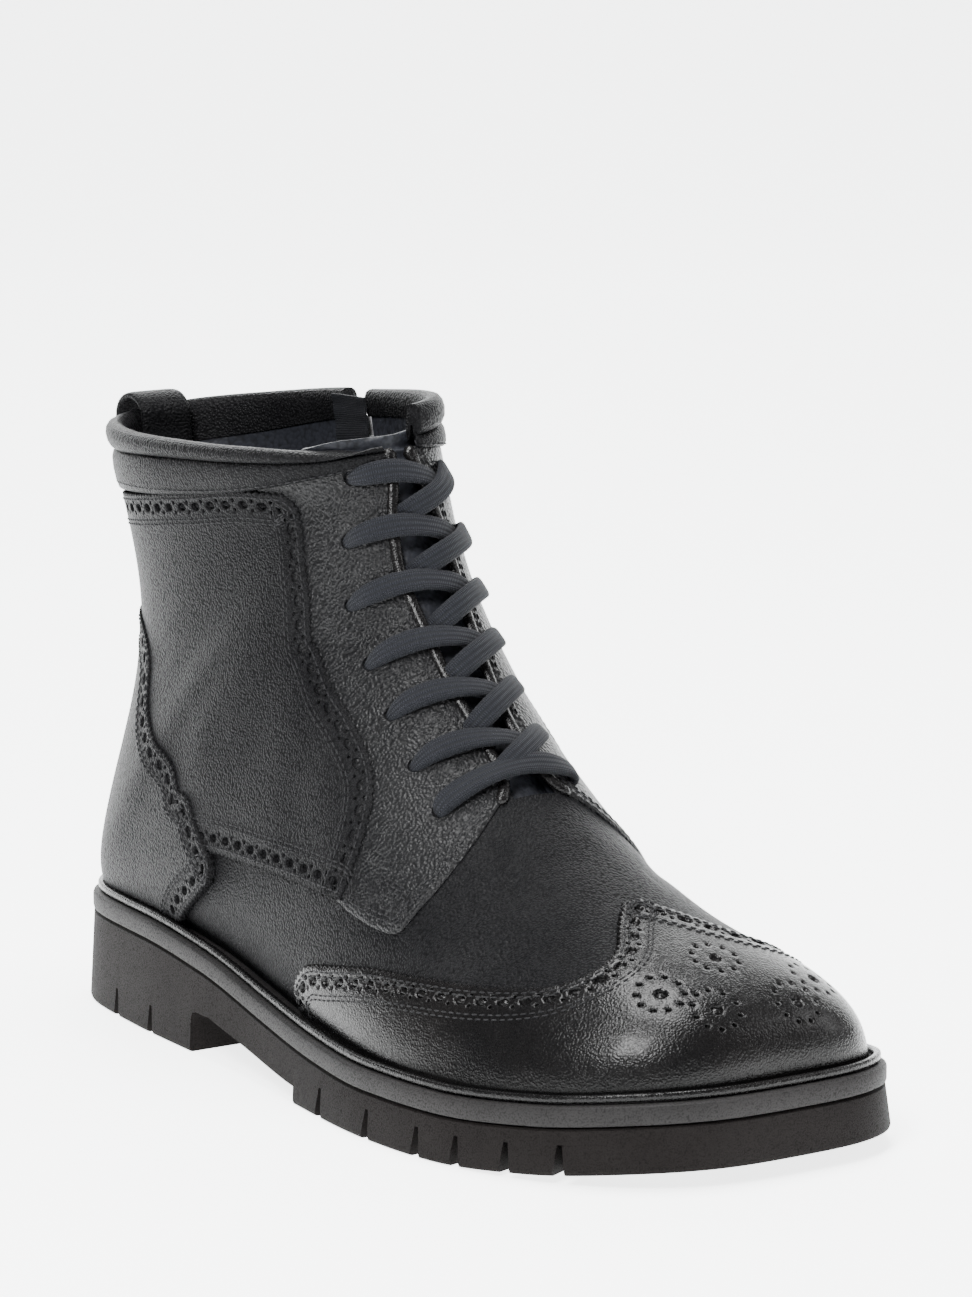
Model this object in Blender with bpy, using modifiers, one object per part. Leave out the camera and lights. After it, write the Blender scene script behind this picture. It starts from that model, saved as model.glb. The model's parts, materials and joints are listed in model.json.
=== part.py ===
"""Brogue boot for the right foot, standing empty on its sole.

Metres, +Z up, the toe towards -Y and the inner side of the foot towards +X. The origin is on the ground,
below the middle of the boot. A place along the foot is measured from the back of the sole towards the toe.

The leather follows one form, the last: a run of sections that fan round the toe and the heel. A point on it
is (u, v): u counts the sections from the toe's lower edge to the collar, and v runs round a section, from 0
on the outer side of the sole (or on the back seam) over the ridge at 0.5 to 1 on the inner side.
"""

import math
from collections import namedtuple

import bmesh
import bpy
import numpy as np
from mathutils import Matrix, Vector
from mathutils.geometry import delaunay_2d_cdt

# Driving sizes
SOLE_LENGTH = 0.304
BALL_WIDTH = 0.109
HEEL_WIDTH = 0.078
COLLAR_WIDTH = 0.069
TOE_HEIGHT = 0.034
INSTEP_HEIGHT = 0.092
SHAFT_HEIGHT = 0.1455
TUCK = 0.009
HEEL_OFFSET = 0.0058

# Sole
HEEL_HEIGHT = 0.028
FOREFOOT_HEIGHT = 0.0132
TOE_SPRING = 0.0047
LEDGE_THICKNESS = 0.006
LEDGE_REACH = 0.0066
LEDGE_BEVEL = 0.0014
SOLE_FLARE = 0.0012
HEEL_LENGTH = 0.092
TREAD_START = 0.1605
TREAD_DEPTH = 0.005
ARCH_CLEARANCE = 0.0125
NOTCH_HEIGHT = 0.0085
NOTCH_REACH = 0.011
NOTCH_TOP = 0.0014
NOTCH_FOOT = 0.0034
HEEL_NOTCHES = (0.133, 0.215)
FOREFOOT_NOTCHES = (0.585, 0.675, 0.770, 0.853)
WELT_GROOVE = 0.0032
WELT_WIDTH = 0.0022
WELT_HEIGHT = 0.0024
INSOLE_THICKNESS = 0.003

# Leather
WALL = 0.0022
PANEL = 0.0012
ROLL = 0.0030
TONGUE = 0.0020
CLEARANCE = 0.0003
SEAM_GAP = 0.0005
BAND_GAP = 0.0011

# Pull loop
LOOP_WIDTH = 0.020
LOOP_HEIGHT = 0.0085
LOOP_LEG = 0.014
LOOP_STRAP = 0.0016

# Laces
LACE_WIDTH = 0.0066
LACE_THICKNESS = 0.0012
LACE_LIFT = 0.0029

# Zip
ZIP_CHAIN = 0.0046
ZIP_CHAIN_RISE = 0.0014
ZIP_TAPE = 0.0008
SLIDER_LENGTH = 0.010
SLIDER_WIDTH = 0.0076
SLIDER_BODY = 0.0020
EAR_HEIGHT = 0.0038
EAR_THICKNESS = 0.0010
PIN_RADIUS = 0.0007
PULL_BORE = 0.0011
PULL_BARREL = 0.0019
PULL_LENGTH = 0.019
PULL_WIDTH = 0.0042
PULL_THICKNESS = 0.0013

# Places along the sole, as shares of its length, with the share of the drop from heel to forefoot that is
# left there and the share of the toe spring
TOP_LINE = ((0.00, 1.00, 0.0), (0.185, 1.00, 0.0), (0.315, 0.80, 0.0), (0.445, 0.36, 0.0), (0.56, 0.10, 0.0),
            (0.66, 0.00, 0.0), (0.775, 0.00, 0.0), (0.875, 0.00, 0.35), (1.00, 0.00, 1.1))

# One row for each section of the last. Places are shares of SOLE_LENGTH. The top's height is a share of the
# height named for that part of the foot, and the bottom's a share of TUCK below the ledge or of SHAFT_HEIGHT
# above it. Widths and shifts are shares of half the width named for that part of the foot.
Section = namedtuple("Section", "top_place top_height bottom_place bottom_height outer inner widest "
                                "ridge_shift bottom_shift crown shoulder wall closed lift")
SECTIONS = (
    Section(0.975, -0.100, 0.712, -0.36, 1.028, 0.972, 0.00, 0.340, 0.064, 0.54, 0.78, 0.34, 0.40, 0.00),
    Section(0.977, 0.133, 0.705, -0.54, 1.028, 0.972, 0.05, 0.340, 0.064, 0.58, 0.80, 0.34, 0.40, 0.00),
    Section(0.970, 0.418, 0.696, -0.69, 1.024, 0.972, 0.10, 0.330, 0.061, 0.64, 0.84, 0.34, 0.40, 0.00),
    Section(0.939, 0.709, 0.682, -0.85, 1.017, 0.972, 0.16, 0.303, 0.055, 0.72, 0.88, 0.34, 0.40, 0.00),
    Section(0.883, 0.992, 0.663, -0.91, 1.002, 0.963, 0.22, 0.248, 0.044, 0.80, 0.92, 0.32, 0.40, 0.00),
    Section(0.814, 0.934, 0.636, -0.95, 0.978, 0.945, 0.26, 0.174, 0.026, 0.88, 0.95, 0.32, 0.42, 0.00),
    Section(0.748, 0.923, 0.603, -1.00, 0.978, 0.961, 0.28, 0.119, 0.004, 0.94, 0.98, 0.34, 0.45, 0.00),
    Section(0.686, 0.942, 0.557, -0.91, 0.964, 0.978, 0.28, 0.083, -0.018, 0.97, 1.00, 0.36, 0.50, 0.00),
    Section(0.630, 0.981, 0.498, -0.80, 0.945, 0.986, 0.28, 0.055, -0.037, 0.98, 1.00, 0.38, 0.55, 0.00),
    Section(0.582, 1.002, 0.413, -0.68, 0.930, 1.001, 0.29, 0.037, -0.040, 0.98, 1.00, 0.40, 0.60, 0.00),
    Section(0.546, 1.077, 0.307, -0.79, 0.926, 1.013, 0.31, 0.037, -0.029, 0.97, 1.00, 0.42, 0.70, 0.00),
    Section(0.520, 1.128, 0.196, -0.86, 0.933, 1.022, 0.34, 0.037, -0.015, 0.95, 0.99, 0.44, 0.84, 0.00),
    Section(0.501, 1.155, 0.107, -0.78, 0.945, 1.031, 0.38, 0.037, -0.004, 0.92, 0.98, 0.47, 1.00, 0.00),
    Section(0.488, 1.169, 0.041, -0.50, 0.962, 1.041, 0.41, 0.037, 0.000, 0.90, 0.96, 0.52, 1.00, 0.00),
    Section(0.478, 1.174, 0.016, 0.027, 0.928, 1.012, 0.43, 0.037, 0.006, 0.88, 0.95, 0.60, 1.00, 0.00),
    Section(0.470, 1.172, 0.015, 0.137, 0.870, 0.976, 0.45, 0.037, 0.015, 0.87, 0.94, 0.70, 1.00, 0.00),
    Section(0.464, 1.165, 0.028, 0.289, 0.804, 0.944, 0.47, 0.037, 0.022, 0.87, 0.93, 0.80, 1.00, 0.00),
    Section(0.457, 1.152, 0.044, 0.460, 0.774, 0.933, 0.49, 0.033, 0.026, 0.87, 0.92, 0.86, 1.00, 0.00),
    Section(0.452, 1.134, 0.046, 0.639, 0.822, 0.942, 0.50, 0.026, 0.022, 0.86, 0.91, 0.88, 1.00, 0.01),
    Section(0.448, 1.114, 0.031, 0.820, 0.916, 0.962, 0.50, 0.018, 0.011, 0.85, 0.90, 0.88, 1.00, 0.03),
    Section(0.446, 1.093, 0.013, 1.000, 1.009, 0.986, 0.50, 0.018, 0.000, 0.84, 0.89, 0.88, 1.00, 0.07),
    Section(0.445, 1.172, 0.006, 1.065, 0.990, 0.955, 0.50, 0.018, 0.000, 0.84, 0.89, 0.88, 1.00, 0.07),
)
SEAM_ROW = 12
TOE_ROW = 2
WIDTH_ROWS = (0, 5, 13, 20)
HEIGHT_ROWS = (0, 4, 9, 20)
TOP_ROW = 21
SECTION_STEPS = 60

# The rows and columns of facets that the upper and its panels share
THROAT_ROW = 7.35
THROAT_HALF = 0.034
ZIP_ROW = 14.2
ZIP_COLUMN = 0.757
ZIP_HALF = 0.018
ZIP_TOP = 20.3
SLIDER_ROW = 19.5
FACET_ROWS = (0, 0.7, 1.4, 2.2, 3.2, 4.4, 5.8, THROAT_ROW, 9, 10.3, 11.3, SEAM_ROW, 12.7, 13.4, ZIP_ROW, 15.5, 17, 18.5,
              20, 21)
OUTER_COLUMNS = (0.0, 0.022, 0.06, 0.105, 0.155, 0.21, 0.265, 0.32, 0.37, 0.42)
FRONT_COLUMNS = (0.58, 0.63, 0.685)
BACK_COLUMNS = (0.82, 0.86, 0.90, 0.94, 0.978, 1.0)
SINK = 0.0002

# Metres of leather for one step of u and for the whole of v, for laying out a panel flat
FLAT_U = 0.014
FLAT_V = 0.300

# Edges of the panels on the outer side, as (u, v), and on the inner side as (u, 1 - v). The inner side of the
# collar stands higher.
CUFF_LOW = ((19.1, 0.0), (19.1, 0.11), (18.85, 0.235), (18.5, 0.33), (18.15, 0.40), (17.6, 0.486))
CUFF_LOW_INNER = ((19.1, 0.0), (19.1, 0.11), (19.1, 0.225), (19.1, 0.261), (19.0, 0.33), (18.9, 0.40), (18.6, 0.482))
ROLL_LOW = ((19.6, 0.0), (19.6, 0.10), (19.55, 0.287), (19.2, 0.408), (18.5, 0.486))
ROLL_LOW_INNER = ((19.6, 0.0), (19.7, 0.12), (19.9, 0.225), (19.95, 0.261), (20.1, 0.36), (20.0, 0.482))
COLLAR = ((20.0, 0.0), (20.0, 0.15), (20.0, 0.30), (19.9, 0.39), (19.6, 0.44), (19.1, 0.486))
COLLAR_INNER = ((20.0, 0.0), (20.15, 0.12), (20.4, 0.225), (20.45, 0.261), (20.7, 0.36), (20.8, 0.42), (20.8, 0.482))
THROAT_EDGE = ((17.6, 0.488), (15.0, 0.484), (13.0, 0.480), (11.0, 0.476), (9.5, 0.474), (8.2, 0.474),
               (7.6, 0.462), (7.4, 0.443))
FACING_FRONT = ((7.13, 0.395), (6.87, 0.330), (6.77, 0.267), (6.77, 0.220), (7.37, 0.212))
QUARTER_FRONT = ((8.0, 0.208), (8.3, 0.285), (8.7, 0.333), (9.1, 0.353), (9.9, 0.368), (10.7, 0.378),
                 (11.7, 0.397), (13.2, 0.414), (14.9, 0.412), (16.2, 0.403), (17.2, 0.395), (18.0, 0.380))
QUARTER_LOW = ((9.7, 0.165), (8.7, 0.188))
COUNTER_EDGE = ((17.9, 0.0), (17.5, 0.075), (16.6, 0.140), (15.5, 0.173), (14.1, 0.215), (12.7, 0.235),
                (11.8, 0.217), (11.1, 0.178), (10.6, 0.150))
COUNTER_FRONT = ((10.4, 0.125), (10.5, 0.095), (10.7, 0.060), (10.8, 0.004))
CAP_EDGE = ((5.33, 0.490), (4.93, 0.443), (4.47, 0.402), (4.27, 0.373), (4.17, 0.342), (4.17, 0.308),
            (4.27, 0.287), (4.53, 0.260), (5.0, 0.228), (5.8, 0.192), (6.77, 0.157), (7.63, 0.120), (8.07, 0.100),
            (8.23, 0.075), (8.27, 0.057), (8.1, 0.0))
LACE_ROWS = (7.75, 8.55, 9.5, 10.6, 12.2, 14.4, 17.4)
OUTER_HOLES = (0.375, 0.388, 0.403, 0.418, 0.440, 0.450, 0.452)
INNER_HOLES = (0.585, 0.575, 0.572, 0.568, 0.562, 0.555, 0.550)


def clear_scene() -> None:
    """Remove every object that the file opened with."""
    for item in list(bpy.data.objects):
        bpy.data.objects.remove(item, do_unlink=True)


def new_collection(name: str) -> bpy.types.Collection:
    """A collection of that name, linked to the scene."""
    made = bpy.data.collections.new(name)
    bpy.context.scene.collection.children.link(made)
    return made


def material(name: str, colour: tuple, rough: float, metal: float = 0.0) -> bpy.types.Material:
    """A Principled material with one colour, roughness and metallic value."""
    made = bpy.data.materials.new(name)
    made.use_nodes = True
    shader = made.node_tree.nodes["Principled BSDF"]
    shader.inputs["Base Color"].default_value = (*colour, 1.0)
    shader.inputs["Roughness"].default_value = rough
    shader.inputs["Metallic"].default_value = metal
    return made


def follow(table: tuple, column: int, places: np.ndarray) -> np.ndarray:
    """A smooth line through one column of a table that never overshoots its rows (monotone cubic)."""
    x = np.array([row[0] for row in table], float)
    y = np.array([row[column] for row in table], float)
    step = np.diff(x)
    slope = np.diff(y) / step
    tangent = np.zeros_like(y)
    for i in range(1, len(x) - 1):
        if slope[i - 1] * slope[i] > 0:
            tangent[i] = 2 / (1 / slope[i - 1] + 1 / slope[i])
    at = np.clip(np.asarray(places, float), x[0], x[-1])
    i = np.clip(np.searchsorted(x, at) - 1, 0, len(step) - 1)
    t = (at - x[i]) / step[i]
    return ((1 + 2 * t) * (1 - t) ** 2 * y[i] + t * (1 - t) ** 2 * step[i] * tangent[i]
            + t * t * (3 - 2 * t) * y[i + 1] + t * t * (t - 1) * step[i] * tangent[i + 1])


def ledge_top(place: np.ndarray) -> np.ndarray:
    """Height of the ledge's top, on which the upper stands, at a place along the foot."""
    share = np.asarray(place, float) / SOLE_LENGTH
    drop = (HEEL_HEIGHT - FOREFOOT_HEIGHT) * follow(TOP_LINE, 1, share)
    return FOREFOOT_HEIGHT + drop + TOE_SPRING * follow(TOP_LINE, 2, share) + LEDGE_THICKNESS


def ground(place: np.ndarray) -> np.ndarray:
    """Height of the tread: flat on the ground, and rising towards the toe."""
    return TOE_SPRING * follow(TOP_LINE, 2, np.asarray(place, float) / SOLE_LENGTH)


def natural_spline(values: np.ndarray, at: np.ndarray) -> np.ndarray:
    """Natural cubic spline through rows of values at 0, 1, 2 ..., read at the given rows."""
    count = len(values)
    system = np.eye(count)
    right = np.zeros_like(values)
    for i in range(1, count - 1):
        system[i, i - 1:i + 2] = (1, 4, 1)
        right[i] = 6 * (values[i - 1] - 2 * values[i] + values[i + 1])
    bend = np.linalg.solve(system, right)
    i = np.clip(np.floor(at).astype(int), 0, count - 2)
    t = (at - i)[:, None]
    return ((1 - t) * values[i] + t * values[i + 1]
            + ((1 - t) ** 3 - (1 - t)) * bend[i] / 6 + (t ** 3 - t) * bend[i + 1] / 6)


def section_sizes() -> np.ndarray:
    """The sections in metres, one row each, from their shares and the named sizes."""
    rows = []
    widths = (BALL_WIDTH, BALL_WIDTH, HEEL_WIDTH, COLLAR_WIDTH)
    heights = (TOE_HEIGHT, TOE_HEIGHT, INSTEP_HEIGHT, SHAFT_HEIGHT)
    for index, section in enumerate(SECTIONS):
        half = np.interp(index, WIDTH_ROWS, widths) / 2
        tall = np.interp(index, HEIGHT_ROWS, heights)
        top = section.top_place * SOLE_LENGTH
        bottom = section.bottom_place * SOLE_LENGTH
        rise = section.bottom_height * (TUCK if section.bottom_height < 0 else SHAFT_HEIGHT)
        rows.append((top, float(ledge_top(top)) + section.top_height * tall, bottom, float(ledge_top(bottom)) + rise,
                     section.outer * half, section.inner * half, section.widest,
                     section.ridge_shift * BALL_WIDTH / 2, section.bottom_shift * BALL_WIDTH / 2,
                     section.crown, section.shoulder, section.wall, section.closed, section.lift * half))
    return np.array(rows)


def section_curve(row: np.ndarray, closed: bool, shares: np.ndarray) -> np.ndarray:
    """Points round one section at the given v, evenly by length on each side of the ridge."""
    (top, top_z, bottom, bottom_z, outer, inner, widest, ridge, foot, crown, shoulder, wall, part, lift) = row
    tall = math.hypot(top - bottom, top_z - bottom_z)
    widest = max(widest, 0.0)
    part = 1.0 if closed else min(max(part, 0.05), 1.0)
    turn = np.linspace(0, math.pi / 2, SECTION_STEPS)
    points = np.zeros((len(shares), 3))
    for sign, width, chosen in ((-1, outer, shares <= 0.5), (1, inner, shares > 0.5)):
        low = (turn * part)[::-1]
        x = np.concatenate([width * np.cos(low) ** wall, (width * np.maximum(np.cos(turn), 0) ** crown)[1:]])
        h = np.concatenate([widest * (1 - np.sin(low)), (widest + (1 - widest) * np.sin(turn) ** shoulder)[1:]])
        if closed:
            x[0] = 0.0
        length = np.concatenate([[0], np.cumsum(np.hypot(np.diff(x), np.diff(h * tall)))])
        wanted = (shares if sign < 0 else 1 - shares)[chosen] * 2 * length[-1]
        across = np.interp(wanted, length, x)
        up = np.interp(wanted, length, h)
        points[chosen, 0] = sign * across + foot + (ridge - foot) * up - HEEL_OFFSET
        points[chosen, 1] = SOLE_LENGTH / 2 - (bottom + (top - bottom) * up)
        points[chosen, 2] = bottom_z + (top_z - bottom_z) * up + sign * lift * across / width
    return points


def last_points(rows: np.ndarray, columns: np.ndarray) -> np.ndarray:
    """A grid of points on the last, one line of them for each row u."""
    sizes = natural_spline(section_sizes(), np.asarray(rows, float))
    return np.array([section_curve(size, u >= SEAM_ROW, columns) for u, size in zip(rows, sizes)])


def last_normals(rows: np.ndarray, columns: np.ndarray) -> np.ndarray:
    """Outward unit normals of the last at the same grid."""
    step = 0.02
    rows = np.asarray(rows, float)
    up = last_points(np.minimum(rows + step, len(SECTIONS) - 1), columns)
    down = last_points(np.maximum(rows - step, 0), columns)
    share = 0.004
    ahead = last_points(rows, np.minimum(columns + share, 1.0))
    behind = last_points(rows, np.maximum(columns - share, 0.0))
    along = up - down
    across = ahead - behind
    seam = rows >= SEAM_ROW
    for edge in (0, -1):
        across[seam, edge] = (1.0, 0.0, 0.0)
        across[seam, edge, 0] *= -1
    normal = np.cross(across, along)
    return normal / np.maximum(np.linalg.norm(normal, axis=2, keepdims=True), 1e-12)


class Facets:
    """The upper's facets, which its panels repeat at other heights so that they lie on it evenly."""

    def __init__(self) -> None:
        self.rows = np.array(FACET_ROWS, float)
        throat = (0.5 - THROAT_HALF, 0.5, 0.5 + THROAT_HALF)
        slot = (ZIP_COLUMN - ZIP_HALF, ZIP_COLUMN, ZIP_COLUMN + ZIP_HALF)
        self.columns = np.array(OUTER_COLUMNS + throat + FRONT_COLUMNS + slot + BACK_COLUMNS)
        self.points = last_points(self.rows, self.columns)
        self.normals = last_normals(self.rows, self.columns)
        if self.normals[4, len(OUTER_COLUMNS)][2] < 0:
            self.normals = -self.normals

    def place(self, u: float, v: float, height: float) -> Vector:
        """The point over (u, v), read on the facet it lies in. A v below 0 is on the inner side."""
        v = v + 1 if v < 0 else v
        i = min(max(int(np.searchsorted(self.rows, u + 1e-9)) - 1, 0), len(self.rows) - 2)
        j = min(max(int(np.searchsorted(self.columns, v + 1e-9)) - 1, 0), len(self.columns) - 2)
        t = min(max((u - self.rows[i]) / (self.rows[i + 1] - self.rows[i]), 0.0), 1.0)
        s = min(max((v - self.columns[j]) / (self.columns[j + 1] - self.columns[j]), 0.0), 1.0)
        near, far = j, j + 1
        if v > 0.5:
            near, far, s = far, near, 1 - s
        corner = [self.points[a, b] + self.normals[a, b] * height for a in (i, i + 1) for b in (near, far)]
        if s <= t:
            return Vector(corner[0] + t * (corner[2] - corner[0]) + s * (corner[3] - corner[2]))
        return Vector(corner[0] + s * (corner[1] - corner[0]) + t * (corner[3] - corner[1]))

    def frame(self, u: float, v: float, height: float) -> Matrix:
        """Axes at a point of the last: X round the leg, Z up along it and Y outward."""
        origin = self.place(u, v, height)
        up = (self.place(u + 0.4, v, height) - self.place(u - 0.4, v, height)).normalized()
        side = (self.place(u, v + 0.01, height) - self.place(u, v - 0.01, height)).normalized()
        out = side.cross(up).normalized()
        side = out.cross(up).normalized()
        turned = Matrix((side, out, up)).transposed().to_4x4()
        turned.translation = origin
        return turned


def add_mesh(name: str, points: list, faces: list, home: bpy.types.Collection) -> bpy.types.Object:
    """An object from points and faces, with faces turned outward."""
    mesh = bpy.data.meshes.new(name)
    mesh.from_pydata([tuple(point) for point in points], [], faces)
    mesh.validate()
    made = bpy.data.objects.new(name, mesh)
    home.objects.link(made)
    return made


def turn_outward(item: bpy.types.Object) -> None:
    """Recalculate a closed mesh's faces to point out."""
    work = bmesh.new()
    work.from_mesh(item.data)
    bmesh.ops.recalc_face_normals(work, faces=work.faces)
    work.to_mesh(item.data)
    work.free()


def boolean(item: bpy.types.Object, other: bpy.types.Object, operation: str, folds: bool = False) -> None:
    """Cut, join or intersect one object with another. folds lets the item touch itself."""
    step = item.modifiers.new(operation.lower(), "BOOLEAN")
    step.operation = operation
    step.object = other
    step.solver = "EXACT"
    step.use_self = folds


def thicken(item: bpy.types.Object, thickness: float, side: float) -> None:
    """Give an open surface a wall, outward when side is 1 and inward when it is -1."""
    step = item.modifiers.new("wall", "SOLIDIFY")
    step.thickness = thickness
    step.offset = side


def prism(name: str, outline: list, low: float, high: float, home: bpy.types.Collection) -> bpy.types.Object:
    """An outline in Y and Z extruded along X, as a 2D curve made into a mesh."""
    curve = bpy.data.curves.new(name + "_line", "CURVE")
    curve.dimensions = "2D"
    curve.fill_mode = "BOTH"
    curve.extrude = (high - low) / 2
    line = curve.splines.new("POLY")
    line.points.add(len(outline) - 1)
    for point, (a, b) in zip(line.points, outline):
        point.co = (a, b, 0, 1)
    line.use_cyclic_u = True
    shape = bpy.data.objects.new(name + "_line", curve)
    home.objects.link(shape)
    middle = (low + high) / 2
    shape.matrix_world = Matrix(((0, 0, 1, middle), (1, 0, 0, 0), (0, 1, 0, 0), (0, 0, 0, 1)))
    return mesh_of(shape, name, home)


def mesh_of(shape: bpy.types.Object, name: str, home: bpy.types.Collection) -> bpy.types.Object:
    """The mesh object that a curve evaluates to, with its caps welded."""
    bpy.context.view_layer.update()
    mesh = bpy.data.meshes.new_from_object(shape.evaluated_get(bpy.context.evaluated_depsgraph_get()))
    work = bmesh.new()
    work.from_mesh(mesh)
    bmesh.ops.remove_doubles(work, verts=work.verts, dist=0.00001)
    bmesh.ops.recalc_face_normals(work, faces=work.faces)
    work.to_mesh(mesh)
    work.free()
    made = bpy.data.objects.new(name, mesh)
    made.matrix_world = shape.matrix_world
    bpy.data.objects.remove(shape, do_unlink=True)
    home.objects.link(made)
    return made


def cutter(item: bpy.types.Object) -> bpy.types.Object:
    """Mark an object as a helper that isn't part of the boot."""
    item.hide_render = True
    item.display_type = "WIRE"
    return item


class Outline:
    """The upper's edge in plan, where the last meets the ledge, and lines set off from it."""

    SIDES = 28

    def __init__(self, facets: Facets) -> None:
        self.rows = np.linspace(0, TOP_ROW, 12 * TOP_ROW + 1)
        self.columns = np.linspace(0, 1, 241)
        self.grid = np.array([[facets.place(u, v, 0.0) for v in self.columns] for u in self.rows])
        self.above = self.grid[..., 2] - ledge_top(SOLE_LENGTH / 2 - self.grid[..., 1])
        self.foot = self.even(np.array([self.point(u, v)[:2] for u, v in self.trace(CLEARANCE)]))
        brim = self.even(np.array([self.point(u, v)[:2] for u, v in self.trace(CLEARANCE + WELT_HEIGHT)]))
        bulge = ((brim - self.foot) * self.outward(self.foot)).sum(1)
        self.brim = self.foot + self.outward(self.foot) * np.maximum(bulge, 0)[:, None]

    def point(self, u: float, v: float) -> np.ndarray:
        """The point of the dense grid nearest to (u, v), read between its neighbours."""
        i = min(int(u * 12), len(self.rows) - 2)
        j = min(int(v * 240), 239)
        t, s = u * 12 - i, v * 240 - j
        grid = self.grid
        return ((1 - t) * (1 - s) * grid[i, j] + (1 - t) * s * grid[i, j + 1]
                + t * (1 - s) * grid[i + 1, j] + t * s * grid[i + 1, j + 1])

    def trace(self, height: float) -> list:
        """Where the facets pass a height over the ledge, as (u, v), from the heel round the outer side and the toe."""
        above = self.above - height
        sides = []
        for order in (1, -1):
            side = []
            for u in np.linspace(TOE_ROW, SEAM_ROW, 90):
                i = min(int(u * 12), len(self.rows) - 2)
                line = above[i] + (above[i + 1] - above[i]) * (u * 12 - i)
                v = self.crossing(line[::order][:121]) / 240
                side.append((float(u), v if order > 0 else 1 - v))
            edge = side[-1][1]
            seam = 0.0 if order > 0 else 1.0
            for k in range(1, 13):
                v = edge + (seam - edge) * k / 12
                side.append((SEAM_ROW + self.crossing(self.column(above, v)[12 * SEAM_ROW:]) / 12, v))
            sides.append(side)
        outer, inner = sides
        toe = [(self.crossing(self.column(above, v)[:12 * TOE_ROW + 13]) / 12, float(v))
               for v in np.linspace(0, 1, 161) if outer[0][1] + 0.004 < v < inner[0][1] - 0.004]
        return outer[::-1] + toe + inner

    @staticmethod
    def column(above: np.ndarray, v: float) -> np.ndarray:
        """The heights along a column v of the dense grid."""
        j = min(int(v * 240), 239)
        return above[:, j] + (above[:, j + 1] - above[:, j]) * (v * 240 - j)

    @staticmethod
    def crossing(line: np.ndarray) -> float:
        """The index, with its fraction, at which a line of heights first comes up through 0, or 0 if it starts there."""
        if line[0] >= 0:
            return 0.0
        hits = np.nonzero((line[:-1] < 0) & (line[1:] >= 0))[0]
        i = int(hits[0])
        return i + float(line[i] / (line[i] - line[i + 1]))

    @staticmethod
    def even(loop: np.ndarray) -> np.ndarray:
        """The closed loop with evenly spaced points, softened a little."""
        closed = np.vstack([loop, loop[:1]])
        length = np.concatenate([[0], np.cumsum(np.hypot(*np.diff(closed, axis=0).T))])
        keep = np.concatenate([[True], np.diff(length) > 1e-7])
        wanted = np.linspace(0, length[-1], 361)[:-1]
        out = np.stack([np.interp(wanted, length[keep], closed[keep, k]) for k in (0, 1)], 1)
        for _ in range(6):
            out = (np.roll(out, 1, 0) + 2 * out + np.roll(out, -1, 0)) / 4
        return out

    @staticmethod
    def outward(loop: np.ndarray) -> np.ndarray:
        """Unit vectors square to a closed loop, pointing out of it."""
        ahead = np.roll(loop, -1, 0) - np.roll(loop, 1, 0)
        out = np.stack([-ahead[:, 1], ahead[:, 0]], 1)
        out /= np.linalg.norm(out, axis=1)[:, None]
        return out if ((loop - loop.mean(0)) * out).sum() > 0 else -out

    def ring(self, reach: float) -> np.ndarray:
        """The edge set off outward by a reach, as places from the heel round the outer side to the toe and back.

        A reach outward starts from the brim and one inward from the foot. Point i and point 2 * SIDES - i lie
        across the sole from each other.
        """
        loop = self.brim if reach > 0 else self.foot
        moved = loop + self.outward(loop) * reach
        back = int(moved[:, 1].argmax())
        moved = np.roll(moved, -back, 0)
        if moved[5, 0] > 0:
            moved = np.roll(moved[::-1], 1, 0)
        toe = int(moved[:, 1].argmin())
        step = np.linspace(0, 1, self.SIDES + 1)
        share = (step + (1 - np.cos(math.pi * step)) / 2) / 2
        chains = []
        for side in (moved[:toe + 1], np.vstack([moved[toe:], moved[:1]])[::-1]):
            length = np.concatenate([[0], np.cumsum(np.hypot(*np.diff(side, axis=0).T))])
            chains.append(np.stack([np.interp(share * length[-1], length, side[:, k]) for k in (0, 1)], 1))
        return np.concatenate([chains[0], chains[1][-2:0:-1]])


def stack(name: str, outline: Outline, levels: list, home: bpy.types.Collection, ring: bool = False) -> bpy.types.Object:
    """A loft through levels of the outline, each (reach, height function of place), capped or closed as a ring."""
    points = []
    for reach, height in levels:
        line = outline.ring(reach)
        z = height(SOLE_LENGTH / 2 - line[:, 1])
        points += [(x, y, h) for (x, y), h in zip(line, z)]
    count = 2 * Outline.SIDES
    faces = []
    pairs = [(k, k + 1) for k in range(len(levels) - 1)] + ([(len(levels) - 1, 0)] if ring else [])
    for low, high in pairs:
        for i in range(count):
            j = (i + 1) % count
            faces.append((low * count + i, low * count + j, high * count + j, high * count + i))
    if not ring:
        for level in (0, len(levels) - 1):
            base = level * count
            for i in range(Outline.SIDES):
                a, b = i, i + 1
                c, d = (count - i - 1) % count, (count - i) % count
                corners = [base + k for k in (a, b, c, d)]
                faces.append(tuple(dict.fromkeys(corners)))
    made = add_mesh(name, points, faces, home)
    work = bmesh.new()
    work.from_mesh(made.data)
    bmesh.ops.triangulate(work, faces=work.faces)
    work.to_mesh(made.data)
    work.free()
    turn_outward(made)
    return made


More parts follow.
